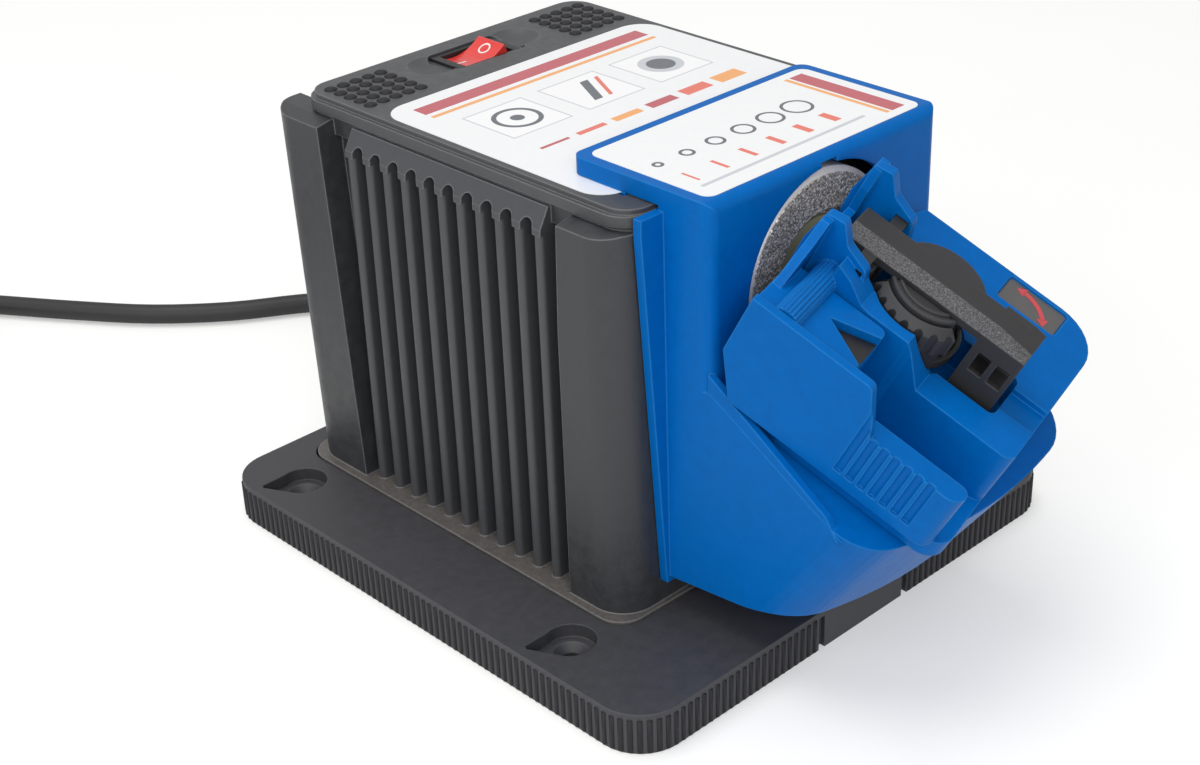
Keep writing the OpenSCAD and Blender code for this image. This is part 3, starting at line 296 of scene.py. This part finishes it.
def moulded(name, colour, highlight_colour, rough, grain=1400.0, depth=0.00004, edge=0.0005, coat=0.0,
            fleck=0.25, mottle=0.6, shine=0.5, patches=()):
    """Plastic with grain spots in a metre, bumps of this depth, and edges of this radius in a lighter tone, a
    painted highlight.

    Fleck and mottle say how much grain and blotches change the tone, and each patch is a mask and a tone.
    """
    mat, w, shader, place = new_finish(name)
    fine = speckle(w, place, grain, 3.0, 0.6)
    cloud = speckle(w, place, CLOUDS, 3.0)
    blotch = (speckle(w, place, BLOTCHES, 4.0, 0.65) - 0.5) * mottle
    rounded = w.node("ShaderNodeBevel", {"samples": 4}, {"Radius": edge})
    plain = w.node("ShaderNodeNewGeometry", out="Normal")
    along = w.node("ShaderNodeVectorMath", {"operation": "DOT_PRODUCT"}, {0: rounded, 1: plain}, out="Value")
    # the lighter tone where the rounded normal leans from the flat one is a painted highlight
    edge_highlight = w.node("ShaderNodeMapRange", None, {"Value": along, "From Min": FLAT_COS, "From Max": HIGHLIGHT_COS})
    tone = blend_colours(w, fine * fleck + cloud * 0.35 + blotch, tint(colour, DARKER), tint(colour, LIGHTER))
    for mask, other_tone in patches:
        tone = blend_colours(w, mask(w, place, fine), tone, other_tone)
    tone = blend_colours(w, edge_highlight * 0.55, tone, highlight_colour)
    matt = rough - 0.09 + fine * 0.1 + cloud * 0.12 + blotch * 0.25 - edge_highlight * 0.08
    plug_in(w, shader, Base_Color=tone, Roughness=matt, Normal=relief(w, 0.55, depth, fine, Normal=rounded),
            Coat_Weight=coat, Coat_Roughness=0.25, IOR=1.49, Specular_IOR_Level=shine)
    return mat


print("moulded plastic is ready")

# %% Frame of the drill block
PIVOT, TILT, YAW = Vector((0, -0.087, 0.0737)), math.radians(29.5), math.radians(14.4)
BLOCK = Matrix.Translation(PIVOT) @ Matrix.Rotation(TILT, 4, "X") @ Matrix.Rotation(YAW, 4, "Z")


def from_block(wire, place):
    """The x, y and z of a place in the frame of the drill block."""
    moved = wire.node("ShaderNodeVectorMath", {"operation": "SUBTRACT"}, {0: place, 1: PIVOT})
    return [wire.node("ShaderNodeVectorMath", {"operation": "DOT_PRODUCT"}, {0: moved, 1: axis}, out="Value")
            for axis in BLOCK.to_3x3().transposed()]


print("block leans", round(math.degrees(TILT), 1), "and is turned", round(math.degrees(YAW), 1), "degrees")

# %% Patches of the housing
FOOT_TOP, RIM_LOW = 0.01275, 0.1222
RIBS_LOW, RIBS_HIGH = (-0.04, -0.0266, 0.0128), (0.04, 0.0522, 0.1216)


def dusty_foot(wire, place, fine):
    """The plinth, where dust gathers."""
    return (place.parts()[2] < FOOT_TOP) * (0.25 + fine * 1.2)


def lit_rib_field(wire, place, fine):
    """The cooling ribs on both sides, between the pillars, in a lighter tone that is painted light."""
    x, y, z = place.parts()
    inside = (y > RIBS_LOW[1]).both(y < RIBS_HIGH[1]).both(z > RIBS_LOW[2]).both(z < RIBS_HIGH[2])
    return inside.both((x < RIBS_LOW[0]).either(x > RIBS_HIGH[0])) * (0.75 + fine * 0.25)


def lit_top_plate(wire, place, fine):
    """The top with its rim, made lighter as painted light from above."""
    return (place.parts()[2] > RIM_LOW) * (0.6 + fine * 0.4)


print("three patches for the housing")

# %% Patches of the clamp bar and the wheel hub
SLOPE_END, SLOPE_LOW, SLOPE_HIGH = -0.00125, 0.0393, 0.04095
WHEEL_Z, HUB_R = 0.0995, 0.0085


def from_axis(wire, place):
    """How far a point is from the axis of the wheel and the motor."""
    x, _, z = place.parts()
    return wire.math("SQRT", x * x + (z - WHEEL_Z) ** 2.0)


def bar_slope(wire, place, fine):
    """A lighter, speckled tone on the slope along the clamp bar."""
    x, _, z = from_block(wire, place)
    on_slope = (x < SLOPE_END).both(z > SLOPE_LOW).both(z < SLOPE_HIGH)
    return on_slope * ((fine - 0.38) * 4.0).either(0.15)


def hub_disc(wire, place, fine):
    """The olive ring of the hub, round its black middle."""
    return (from_axis(wire, place) > HUB_R) * (0.75 + fine * 0.25)


print("two patches for bar and hub")

# %% Plastics of this tool
# the second colour of each plastic is its painted edge highlight
black_shell = moulded("black_shell", srgb(49, 50, 53), srgb(154, 155, 158), 0.44, grain=900, depth=0.00009,
                      edge=0.0006, fleck=0.7, mottle=2.0,
                      patches=[(dusty_foot, srgb(94, 90, 86)), (lit_rib_field, srgb(67, 68, 71)),
                               (lit_top_plate, srgb(72, 73, 75))])
black_base = moulded("black_base", srgb(59, 59, 63), srgb(94, 95, 98), 0.54, grain=1300, depth=0.00005,
                     mottle=1.0)
dark_rib_and_shade = moulded("dark_rib_and_shade", srgb(34, 34, 38), srgb(62, 62, 66), 0.6, grain=1300, shine=0.3)
blue_head = moulded("blue_head", HEAD_BLUE, srgb(58, 156, 234), 0.36, grain=900, depth=0.000012,
                    edge=0.0006, fleck=0.1, shine=0.08)
black_clamp = moulded("black_clamp", srgb(42, 42, 45), srgb(86, 86, 88), 0.55, grain=1900, depth=0.00005,
                      fleck=0.4)
black_bar = moulded("black_bar", srgb(40, 40, 42), srgb(90, 90, 92), 0.6, grain=2400, depth=0.00007,
                    fleck=0.5, patches=[(bar_slope, srgb(102, 102, 104))])
hub_paint = moulded("hub_paint", srgb(26, 26, 28), srgb(60, 60, 60), 0.42, grain=1600,
                    patches=[(hub_disc, srgb(178, 172, 132))])
red_rocker = moulded("red_rocker", srgb(226, 54, 48), srgb(246, 120, 112), 0.26, grain=700, depth=0.000006,
                     coat=0.35, fleck=0.08)
switch_black = moulded("switch_black", srgb(26, 26, 28), srgb(70, 70, 72), 0.42, grain=1600)
cable_rubber = moulded("cable_rubber", srgb(30, 30, 32), srgb(52, 52, 54), 0.5, grain=1100, depth=0.00003)
foot_rubber = moulded("foot_rubber", srgb(38, 38, 38), srgb(60, 60, 60), 0.78, grain=800, depth=0.00008)
fan_plastic = moulded("fan_plastic", srgb(196, 196, 188), srgb(225, 225, 220), 0.45)
print(len([m for m in bpy.data.materials if m.use_nodes]), "finishes so far")

# %% [markdown]
# ## Ground and turned metal
# The grinding wheel is a steel cup covered with abrasive grit: thousands of dull grains with a few that
# flash, and a painted highlight as a bright ring along its outer edge. Cells of a Voronoi pattern stand for
# the grains. Shafts, screws and the motor can are turned or drawn steel, with fine rings that follow the
# axis, so their streaks are stretched noise.

# %% Grit of the wheel
GRAINS, FLASH_FROM = 2400.0, 0.72
RIM_GLINT_START, RIM_GLINT_FULL = 0.0255, 0.0258
GRIT_TONES = [(0.0, srgb(78, 73, 68)), (0.5, srgb(158, 149, 138)), (1.0, srgb(216, 207, 194))]


def wheel_grit():
    """Grains in three tones, a few that flash, and a painted highlight as a bright ring round the edge of the
    cup.
    """
    mat, w, shader, place = new_finish("wheel_grit")
    grain = {"Vector": place, "Scale": GRAINS}
    pick, other, _ = w.node("ShaderNodeTexVoronoi", None, grain, out="Color").parts()
    height = w.node("ShaderNodeTexVoronoi", None, grain, out="Distance")
    # painted highlight: a bright ring near the outer edge of the wheel
    rim = w.node("ShaderNodeMapRange", None,
                 {"Value": from_axis(w, place), "From Min": RIM_GLINT_START, "From Max": RIM_GLINT_FULL})
    flash = (pick > FLASH_FROM) * (1 - rim)
    tone = w.node("ShaderNodeValToRGB", {"stops": GRIT_TONES}, {"Fac": pick})
    tone = blend_colours(w, rim * 0.9, tone, srgb(246, 244, 240))
    tone = blend_colours(w, flash * other, tone, srgb(250, 247, 240))
    plug_in(w, shader, Base_Color=tone, Roughness=0.62 - flash * 0.34 - rim * 0.2, Metallic=0.1 + flash * 0.2,
            Normal=relief(w, 0.9, 0.00012, (1 - height) * (1 - rim * 0.8)))
    return mat


grit = wheel_grit()
print("grit finish made")

# %% Steels, copper and brass


def drawn_metal(name, colour, dark, rough, stretch=(900.0, 12.0, 900.0)):
    """Metal with streaks, as many in a metre along x, y and z as stretch says, and faint stains."""
    mat, w, shader, place = new_finish(name)
    pulled = w.node("ShaderNodeMapping", None, {"Vector": place, "Scale": stretch})
    streak = speckle(w, pulled, 1.0, 4.0)
    stain = speckle(w, place, 160.0, 4.0)
    plug_in(w, shader, Base_Color=blend_colours(w, streak * 0.5 + stain * 0.4, dark, colour), Metallic=1.0,
            Roughness=rough - 0.08 + streak * 0.16 + stain * 0.08, Normal=relief(w, 0.25, 0.00002, streak))
    return mat


steel = drawn_metal("turned_steel", srgb(206, 208, 210), srgb(140, 142, 146), 0.3)
zinc = drawn_metal("zinc_plate", srgb(190, 194, 196), srgb(136, 140, 146), 0.36, (500.0, 60.0, 500.0))
copper = drawn_metal("copper_wire", srgb(206, 128, 84), srgb(130, 66, 40), 0.34, (200.0, 1400.0, 200.0))
brass = drawn_metal("brass_blade", srgb(206, 178, 104), srgb(150, 122, 62), 0.32, (400.0, 400.0, 40.0))
core_steel = drawn_metal("stacked_sheet", srgb(150, 152, 156), srgb(66, 68, 72), 0.42, (30.0, 2600.0, 30.0))
print("metals made")

# %% Other inner pieces


def pressed_powder(name, colour, dark, rough, scale):
    """Magnets, brushes and circuit board: dull grains in two tones."""
    mat, w, shader, place = new_finish(name)
    grain = speckle(w, place, scale, 5.0, 0.7)
    cloud = speckle(w, place, scale / 12, 2.0)
    plug_in(w, shader, Base_Color=blend_colours(w, grain * 0.6 + cloud * 0.4, dark, colour),
            Roughness=rough + grain * 0.15, Normal=relief(w, 0.4, 0.00004, grain))
    return mat


magnet = pressed_powder("ferrite", srgb(66, 66, 70), srgb(34, 34, 38), 0.6, 1500.0)
carbon = pressed_powder("carbon_brush", srgb(52, 50, 50), srgb(22, 22, 22), 0.5, 2200.0)
board = pressed_powder("board_green", srgb(62, 122, 74), srgb(34, 84, 48), 0.42, 900.0)
black_parts = pressed_powder("board_parts", srgb(48, 48, 52), srgb(26, 26, 30), 0.45, 1200.0)
print("inner finishes made")

# %% Each solid gets its finish
WEARS = {
    black_base: ["base_plate"],
    black_shell: ["housing", "motor_cradle"],
    blue_head: ["head_cover", "head_lugs", "drill_block"],
    black_clamp: ["clamp_ring", "ring_retainer", "jaw_left", "jaw_right"],
    black_bar: ["clamp_frame"],
    hub_paint: ["wheel_washer"],
    red_rocker: ["switch_rocker"],
    switch_black: ["switch_body", "wheel_flange", "window_plate", "motor_end_bell"],
    cable_rubber: ["cord_gland", "cord_tie", "mains_plug", "power_cord", "cord_coil", "cord_tail"],
    foot_rubber: ["rubber_feet"],
    fan_plastic: ["cooling_fan"],
    grit: ["grinding_wheel"],
    steel: ["front_bearing", "rear_bearing", "swing_pin", "motor_shaft"],
    zinc: ["wheel_nut", "base_screws", "motor_screws", "motor_bracket", "clamp_screws", "motor_can",
           "cord_clamp"],
    copper: ["armature_windings", "commutator"],
    brass: ["switch_terminals", "plug_pins"],
    core_steel: ["armature_core"],
    magnet: ["motor_magnets"],
    carbon: ["motor_brushes"],
    board: ["rectifier_board"],
    black_parts: ["board_parts"],
}
for mat, names in WEARS.items():
    for name in names:
        NODES[name].data.materials.clear()
        NODES[name].data.materials.append(mat)
lead_curve.materials.append(cable_rubber)
left_out = sorted(set(NODES) - {n for names in WEARS.values() for n in names})
print("solids without a finish:", left_out)

# %% [markdown]
# ## Ribs round the base and pimples beside the switch
# The edge of the base plate is grooved all round like a coin, so that it can be gripped, and two pads of
# small pimples flank the switch. Both are one small shape repeated along a path or over a grid, which is
# what Geometry Nodes are for. Each tree is built here with named inputs, and its result is turned into a
# plain mesh.

# %% Helpers for Geometry Nodes


def new_tree(name, inputs):
    """A Geometry Nodes tree with these inputs, as {name: (socket type, value)}, and wires on them."""
    tree = bpy.data.node_groups.new(name, "GeometryNodeTree")
    tree.interface.new_socket("Geometry", in_out="OUTPUT", socket_type="NodeSocketGeometry")
    for key, (kind, _) in inputs.items():
        tree.interface.new_socket(key, in_out="INPUT", socket_type="NodeSocket" + kind)
    start = tree.nodes.new("NodeGroupInput")
    return tree, Wire(tree), {key: Wire(tree, start.outputs[key]) for key in inputs}


def end_tree(w, instances, material):
    """Realize Instances and Set Material, and the tree's output."""
    real = w.node("GeometryNodeRealizeInstances", None, {0: instances})
    smooth = w.node("GeometryNodeSetShadeSmooth", None, {0: real})
    painted = w.node("GeometryNodeSetMaterial", None, {0: smooth, "Material": material})
    w.tree.links.new(painted.out, w.tree.nodes.new("NodeGroupOutput").inputs[0])


def grow(name, tree, inputs, body):
    """Runs a tree with the values of inputs, and keeps the result as a plain mesh on a body."""
    seed = bpy.data.objects.new(name + "_seed", bpy.data.meshes.new(name + "_seed"))
    scene.collection.objects.link(seed)
    modifier = seed.modifiers.new("grow", "NODES")
    modifier.node_group = tree
    for item in tree.interface.items_tree:
        if item.in_out == "INPUT":
            modifier[item.identifier] = inputs[item.name][1]
    mesh = bpy.data.meshes.new_from_object(seed.evaluated_get(bpy.context.evaluated_depsgraph_get()))
    bpy.data.objects.remove(seed)
    mesh.name = name
    piece = bpy.data.objects.new(name, mesh)
    scene.collection.objects.link(piece)
    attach(piece, body)
    print(name, len(mesh.polygons), "faces")


print("helpers for trees are ready")

# %% Ribs round the base plate
base_low, base_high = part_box("base_plate")
rib_inputs = {
    "Width": ("Float", base_high.x - base_low.x), "Depth": ("Float", base_high.y - base_low.y),
    "Corner": ("Float", 0.013), "Pitch": ("Float", 0.0025), "Rib width": ("Float", 0.0015),
    "Rib height": ("Float", 0.0098), "Middle": ("Float", 0.0053), "Stand out": ("Float", 0.00045),
    "Tongue": ("Float", 0.0185), "Finish": ("Material", dark_rib_and_shade),
}
tree, w, given = new_tree("coin_edge", rib_inputs)
outline = w.node("GeometryNodeCurvePrimitiveQuadrilateral", None,
                 {"Width": given["Width"], "Height": given["Depth"]})
outline = w.node("GeometryNodeFilletCurve", {"mode": "POLY"},
                 {0: outline, "Count": 12, "Radius": given["Corner"]})
spots = w.node("GeometryNodeCurveToPoints", {"mode": "LENGTH"}, {0: outline, "Length": given["Pitch"]})
tangent = Wire(tree, spots.out.node.outputs["Tangent"])
turn = w.node("FunctionNodeAlignRotationToVector", {"axis": "Y", "pivot_axis": "Z"}, {"Vector": tangent})
x, y, _ = w.node("GeometryNodeInputPosition").parts()
on_tongue = (abs(x) < given["Tongue"]).both(y < given["Depth"] * -0.49)
rib_r = given["Rib width"] * 0.5
rib = w.node("GeometryNodeMeshCylinder", None,
             {"Vertices": 10, "Radius": rib_r, "Depth": given["Rib height"]})
flat = w.node("ShaderNodeCombineXYZ", None, {0: given["Stand out"] / rib_r, 1: 1.0, 2: 1.0})
rise = w.node("ShaderNodeCombineXYZ", None, {2: given["Middle"]})
rib = w.node("GeometryNodeTransform", None, {0: rib, "Scale": flat, "Translation": rise})
ribs = w.node("GeometryNodeInstanceOnPoints", None,
              {0: spots, "Selection": 1 - on_tongue, "Instance": rib, "Rotation": turn})
end_tree(w, ribs, given["Finish"])
grow("base_ribs", tree, rib_inputs, "frame")

# %% Pimples beside the switch
# the pimples take the darker rib finish, as painted shade that makes them dark dots
pimple_inputs = {
    "Across": ("Float", 0.0762), "Along": ("Float", 0.0585), "Top": ("Float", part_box("housing")[1].z),
    "Count": ("Int", 5), "Pitch": ("Float", 0.0044), "Radius": ("Float", 0.00195),
    "Rise": ("Float", 0.0007), "Finish": ("Material", dark_rib_and_shade),
}
tree, w, given = new_tree("pimple_pads", pimple_inputs)
size, count = given["Pitch"] * (given["Count"] - 1), given["Count"]
joined = tree.nodes.new("GeometryNodeJoinGeometry")
for side in (-0.5, 0.5):
    pad = w.node("GeometryNodeMeshGrid", None,
                 {"Size X": size, "Size Y": size, "Vertices X": count, "Vertices Y": count})
    move = w.node("ShaderNodeCombineXYZ", None,
                  {0: given["Across"] * side, 1: given["Along"], 2: given["Top"]})
    pad = w.node("GeometryNodeTransform", None, {0: pad, "Translation": move})
    tree.links.new(pad.out, joined.inputs[0])
dome = w.node("GeometryNodeMeshIcoSphere", None, {"Radius": given["Radius"], "Subdivisions": 2})
squat = w.node("ShaderNodeCombineXYZ", None, {0: 1.0, 1: 1.0, 2: given["Rise"] / given["Radius"]})
dome = w.node("GeometryNodeTransform", None, {0: dome, "Scale": squat})
pimples = w.node("GeometryNodeInstanceOnPoints", None,
                 {0: Wire(tree, joined.outputs[0]), "Instance": dome})
end_tree(w, pimples, given["Finish"])
grow("grip_pimples", tree, pimple_inputs, "frame")

# %% [markdown]
# ## Printed labels
# Two thin film labels lie on the housing and on the head. Their print here is a plain design: bars and
# growing rings, like a size gauge. An image could hold it, but shapes written as comparisons of the place on
# the label stay sharp at any size, so each shape is one expression. Films, stickers and marks are all thin
# flat shapes: outlines drawn in the plane, lifted to their surface and given a little thickness.

# %% Thin flat shapes
QUARTERS = ((1, 1, 0), (-1, 1, 90), (-1, -1, 180), (1, -1, 270))


def round_box(cx, cy, half_x, half_y, corner, steps):
    """The outline of a box with round corners, in millimetres."""
    points = []
    for sx, sy, start in QUARTERS:
        for i in range(steps + 1):
            a = math.radians(start + 90 * i / steps)
            points.append((cx + sx * (half_x - corner) + corner * math.cos(a),
                           cy + sy * (half_y - corner) + corner * math.sin(a)))
    return points


def thin_shape(name, outlines, lift, thick, matrix=Matrix(), bend=None):
    """A piece from the outlines of its faces, in millimetres: lifted, made thick, bent and put in place."""
    bm = bmesh.new()
    for points in outlines:
        bm.faces.new([bm.verts.new((px, py, lift)) for px, py in points])
    bmesh.ops.remove_doubles(bm, verts=bm.verts, dist=1e-4)
    top = bmesh.ops.extrude_face_region(bm, geom=list(bm.faces))["geom"]
    bmesh.ops.translate(bm, vec=(0, 0, thick), verts=[v for v in top if isinstance(v, bmesh.types.BMVert)])
    bmesh.ops.recalc_face_normals(bm, faces=bm.faces)
    for v in bm.verts:
        if bend:
            v.co.z += bend(v.co.x)
        v.co = matrix @ (v.co * MM)
    mesh = bpy.data.meshes.new(name)
    bm.to_mesh(mesh)
    bm.free()
    piece = bpy.data.objects.new(name, mesh)
    scene.collection.objects.link(piece)
    return piece


print("thin shapes are ready")

# %% Print of a label


def label_print(name, shapes):
    """White film with shapes, each a function of x and y in millimetres that gives its mask, and a colour."""
    mat, w, shader, place = new_finish(name)
    x, y, _ = place.parts()
    x, y = x * 1000.0, y * 1000.0
    fibre = speckle(w, place, 420.0, 3.0)
    tone = blend_colours(w, fibre * 0.5, srgb(236, 237, 238), srgb(246, 246, 246))
    for mask, colour in shapes:
        tone = blend_colours(w, mask(x, y), tone, colour)
    plug_in(w, shader, Base_Color=tone, Roughness=0.3 + fibre * 0.12, Normal=relief(w, 0.15, 0.00002, fibre),
            Coat_Weight=0.2, Coat_Roughness=0.2)
    return mat


def bar(cx, cy, wide, high, lean=0.0):
    """A bar, upright or leaning."""
    return lambda x, y: (abs(x - cx - (y - cy) * lean) < wide / 2).both(abs(y - cy) < high / 2)


def ring(cx, cy, outer, inner):
    """A ring, or a disc where inner is 0."""
    def mask(x, y):
        r = (x - cx) * (x - cx) + (y - cy) * (y - cy)
        return (r < outer ** 2).both(r > inner ** 2)
    return mask


RED, CORAL, ORANGE = srgb(186, 84, 92), srgb(226, 112, 92), srgb(238, 166, 96)
GREY, PALE, PAPER = srgb(92, 96, 104), srgb(196, 200, 206), srgb(244, 244, 244)
print("bars, rings and six colours for print")

# %% Design of the housing label
BOX_Y, BOX_PITCH, BOX_SIDE = 12.5, 27, 20
house_shapes = [(bar(0, 35, 84, 5.5), RED), (bar(0, 29.6, 84, 1.6), ORANGE)]
for cx in (-BOX_PITCH, 0, BOX_PITCH):
    house_shapes += [(bar(cx, BOX_Y, BOX_SIDE + 1, BOX_SIDE + 1), PALE),
                     (bar(cx, BOX_Y, BOX_SIDE, BOX_SIDE), PAPER)]
house_shapes += [
    (ring(-BOX_PITCH, BOX_Y, 7, 5.6), GREY), (ring(-BOX_PITCH, BOX_Y, 2, 0), GREY),
    (bar(0, BOX_Y, 3, 13, 0.5), GREY), (bar(4.6, BOX_Y, 1.4, 13, 0.5), CORAL),
    (ring(BOX_PITCH, BOX_Y, 6.6, 0), PALE), (ring(BOX_PITCH, BOX_Y, 4.2, 0), GREY),
]
for i in range(6):
    house_shapes.append((bar(-32.5 + 13 * i, -8, 10, 1.2 + 0.8 * i), (RED, CORAL, ORANGE)[i % 3]))
print("housing label with", len(house_shapes), "shapes")

# %% Design of the head label
GAUGE_X, GAUGE_PITCH, RING_Y, DASH_Y = -33.5, 10.2, -46, -57
head_shapes = [(bar(34, -48.5, 5, 35), RED), (bar(30, -48.5, 1.4, 35), ORANGE)]
for i in range(6):
    cx, r = GAUGE_X + GAUGE_PITCH * i, 1.6 + 0.58 * i
    head_shapes += [(ring(cx, RING_Y, r, r - 0.9), GREY), (bar(cx, DASH_Y, 0.8 + 0.35 * i, 6), CORAL)]
head_shapes.append((bar(-6, -63, 60, 1.2), PALE))
print("head label with", len(head_shapes), "shapes")

# %% Two labels
HOUSING_TOP, HEAD_TOP, FILM = 127, 132, 0.14
house_label = thin_shape("housing_label", [round_box(0, 0, 49.5, 43, 8, 8)], HOUSING_TOP, FILM)
house_label.data.materials.append(label_print("housing_print", house_shapes))
head_label = thin_shape("head_label", [round_box(0, -48.5, 40, 20.5, 3, 8)], HEAD_TOP, FILM)
head_label.data.materials.append(label_print("head_print", head_shapes))
for label in (house_label, head_label):
    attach(label, "frame")
print("labels", FILM, "mm thick")

# %% [markdown]
# ## Turning arrow and switch marks
# A small dark sticker in a recess of the swinging block shows a bent double arrow: this way it swings. The
# rocker carries a ring and a dash. An image on the block would be simpler, but thin shapes of their own stay
# sharp, and each follows its own moving body.

# %% Outlines and ink of marks


def band(cx, cy, inner, outer, a0, a1, steps):
    """Four-cornered faces of an arc-shaped band."""
    edge = [math.radians(a0 + (a1 - a0) * i / steps) for i in range(steps + 1)]
    return [[(cx + r * math.cos(a), cy + r * math.sin(a))
             for a, r in ((p, inner), (p, outer), (q, outer), (q, inner))] for p, q in zip(edge, edge[1:])]


def arrow_head(cx, cy, r, angle, turn, size):
    """A triangle at the end of an arc, pointing along it."""
    a = math.radians(angle)
    tip = math.radians(angle + turn * math.degrees(size * 1.5 / r))
    return [(cx + (r - size) * math.cos(a), cy + (r - size) * math.sin(a)),
            (cx + (r + size) * math.cos(a), cy + (r + size) * math.sin(a)),
            (cx + r * math.cos(tip), cy + r * math.sin(tip))]


def ink(name, colour, rough):
    """Printing ink with fine darker dots."""
    mat, w, shader, place = new_finish(name)
    dots = speckle(w, place, 1700.0, 3.0)
    plug_in(w, shader, Base_Color=blend_colours(w, dots * 0.5, colour, tint(colour, 0.72)),
            Roughness=rough + dots * 0.12)
    return mat


print("outlines and ink are ready")

# %% Sticker and arrow on the block
STICKER_Z, STICKER_THICK, ARROW_Z, ARROW_THICK = 22.2, 0.25, 22.46, 0.06
ARC, ARC_HALF, ARROW_SIZE = (26.9, -16.1, 10.0), 0.7, 1.7
sticker = thin_shape("swing_sticker", [round_box(34.05, -20.3, 4.55, 8.6, 1, 6)], STICKER_Z, STICKER_THICK,
                     BLOCK)
sticker.data.materials.append(moulded("sticker_film", srgb(90, 88, 88), srgb(116, 114, 114), 0.4, grain=1500,
                                      depth=0.00001, edge=0.0002))
outlines = band(ARC[0], ARC[1], ARC[2] - ARC_HALF, ARC[2] + ARC_HALF, -58, -4, 12)
outlines += [arrow_head(*ARC, -5, 1, ARROW_SIZE), arrow_head(*ARC, -57, -1, ARROW_SIZE)]
swing_arrow = thin_shape("swing_arrow", outlines, ARROW_Z, ARROW_THICK, BLOCK)
swing_arrow.data.materials.append(ink("arrow_red", srgb(206, 74, 80), 0.4))
for piece in (sticker, swing_arrow):
    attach(piece, "block")
print("sticker and arrow on the block")

# %% Marks of the switch
ROCKER = Matrix.Translation(Vector((0, 0.06, 0.121))) @ Matrix.Rotation(math.radians(-13), 4, "Y")
ROCKER_HALF, FACE_LOW, FACE_RISE = 8.4, 4.6, 1.8
MARK_LIFT, MARK_THICK = 0.02, 0.07
DASH_X, DASH_STEP, DASH_HALF = -6.2, 0.6, 0.28


def rocker_face(x):
    """Height of the hollow face of the rocker."""
    return FACE_LOW + FACE_RISE * (x / (ROCKER_HALF - 1)) ** 2


circle = band(4.2, 0, 1.45, 1.95, 0, 360, 32)
dash = []
for i in range(5):
    x0, x1 = DASH_X + DASH_STEP * i, DASH_X + DASH_STEP * (i + 1)
    dash.append([(x0, -DASH_HALF), (x1, -DASH_HALF), (x1, DASH_HALF), (x0, DASH_HALF)])
off_ring = thin_shape("switch_ring", circle, MARK_LIFT, MARK_THICK, ROCKER, rocker_face)
on_dash = thin_shape("switch_dash", dash, MARK_LIFT, MARK_THICK, ROCKER, rocker_face)
white_ink = ink("mark_white", srgb(240, 236, 232), 0.4)
for piece in (off_ring, on_dash):
    piece.data.materials.append(white_ink)
    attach(piece, "rocker")
print("marks on the rocker")

# %% [markdown]
# ## Table, light and world
# The picture is a plain studio shot: a white table, broad soft light from above and from the left, and a pale
# shadow to the right. A wide lamp hangs over the tool, one stands on its left and one beside the camera. The
# table and the world look white to the camera and in reflections, yet they light the tool no more than grey
# ones would. So the grooves stay dark, and the table still takes the shadow.

# %% Table
TABLE_HALF = 4
TABLE_GLOW = 0.34


def seeing_rays(wire):
    """Rays from the camera, from shiny surfaces and through clear ones, each 1 or 0."""
    return [wire.node("ShaderNodeLightPath", out=f"Is {kind} Ray")
            for kind in ("Camera", "Glossy", "Transmission")]


table_mesh = bpy.data.meshes.new("table")
corners = [(sx * TABLE_HALF, sy * TABLE_HALF, 0) for sx, sy in ((-1, -1), (1, -1), (1, 1), (-1, 1))]
table_mesh.from_pydata(corners, [], [(0, 1, 2, 3)])
table = bpy.data.objects.new("table", table_mesh)
scene.collection.objects.link(table)
mat, w, shader, place = new_finish("white_table")
paper = blend_colours(w, speckle(w, place, 6.0, 2.0), srgb(216, 216, 214), srgb(222, 222, 220))
seen, shine, clear = seeing_rays(w)
plug_in(w, shader, Base_Color=paper, Roughness=0.6, Emission_Color=seen.either(shine).either(clear),
        Emission_Strength=TABLE_GLOW)
table_mesh.materials.append(mat)
print("table", 2 * TABLE_HALF, "m wide")

# %% Lamps


def lamp(name, place, aim, size, watts):
    """A round soft lamp, size metres across, that looks at its aim."""
    data = bpy.data.lights.new(name, "AREA")
    data.shape, data.size, data.energy = "DISK", size, watts
    obj = bpy.data.objects.new(name, data)
    obj.location = place
    obj.rotation_euler = (Vector(place) - Vector(aim)).to_track_quat("Z", "Y").to_euler()
    scene.collection.objects.link(obj)


lamp("ceiling", (-0.25, 0.2, 1.7), (0, -0.02, 0.07), 1.3, 13.5)
lamp("left_soft", (-1.3, -0.1, 0.75), (0, -0.02, 0.07), 0.9, 4.6)
lamp("front_fill", (-0.85, -1.15, 0.9), (0, -0.03, 0.07), 0.9, 9.5)
print("three lamps")

# %% World
SKY_LIGHT, SKY_SEEN, SKY_SHINE = 0.4, 1.0, 0.55
world = bpy.data.worlds.new("studio")
scene.world = world
world.use_nodes = True
w = Wire(world.node_tree)
sky = world.node_tree.nodes["Background"]
seen, shine, clear = seeing_rays(w)
strength = SKY_LIGHT + (SKY_SEEN - SKY_LIGHT) * seen.either(shine * SKY_SHINE).either(clear)
plug_in(w, sky, Color=(1, 1, 1, 1), Strength=strength)
scene.view_settings.view_transform = "Standard"
print("white world")
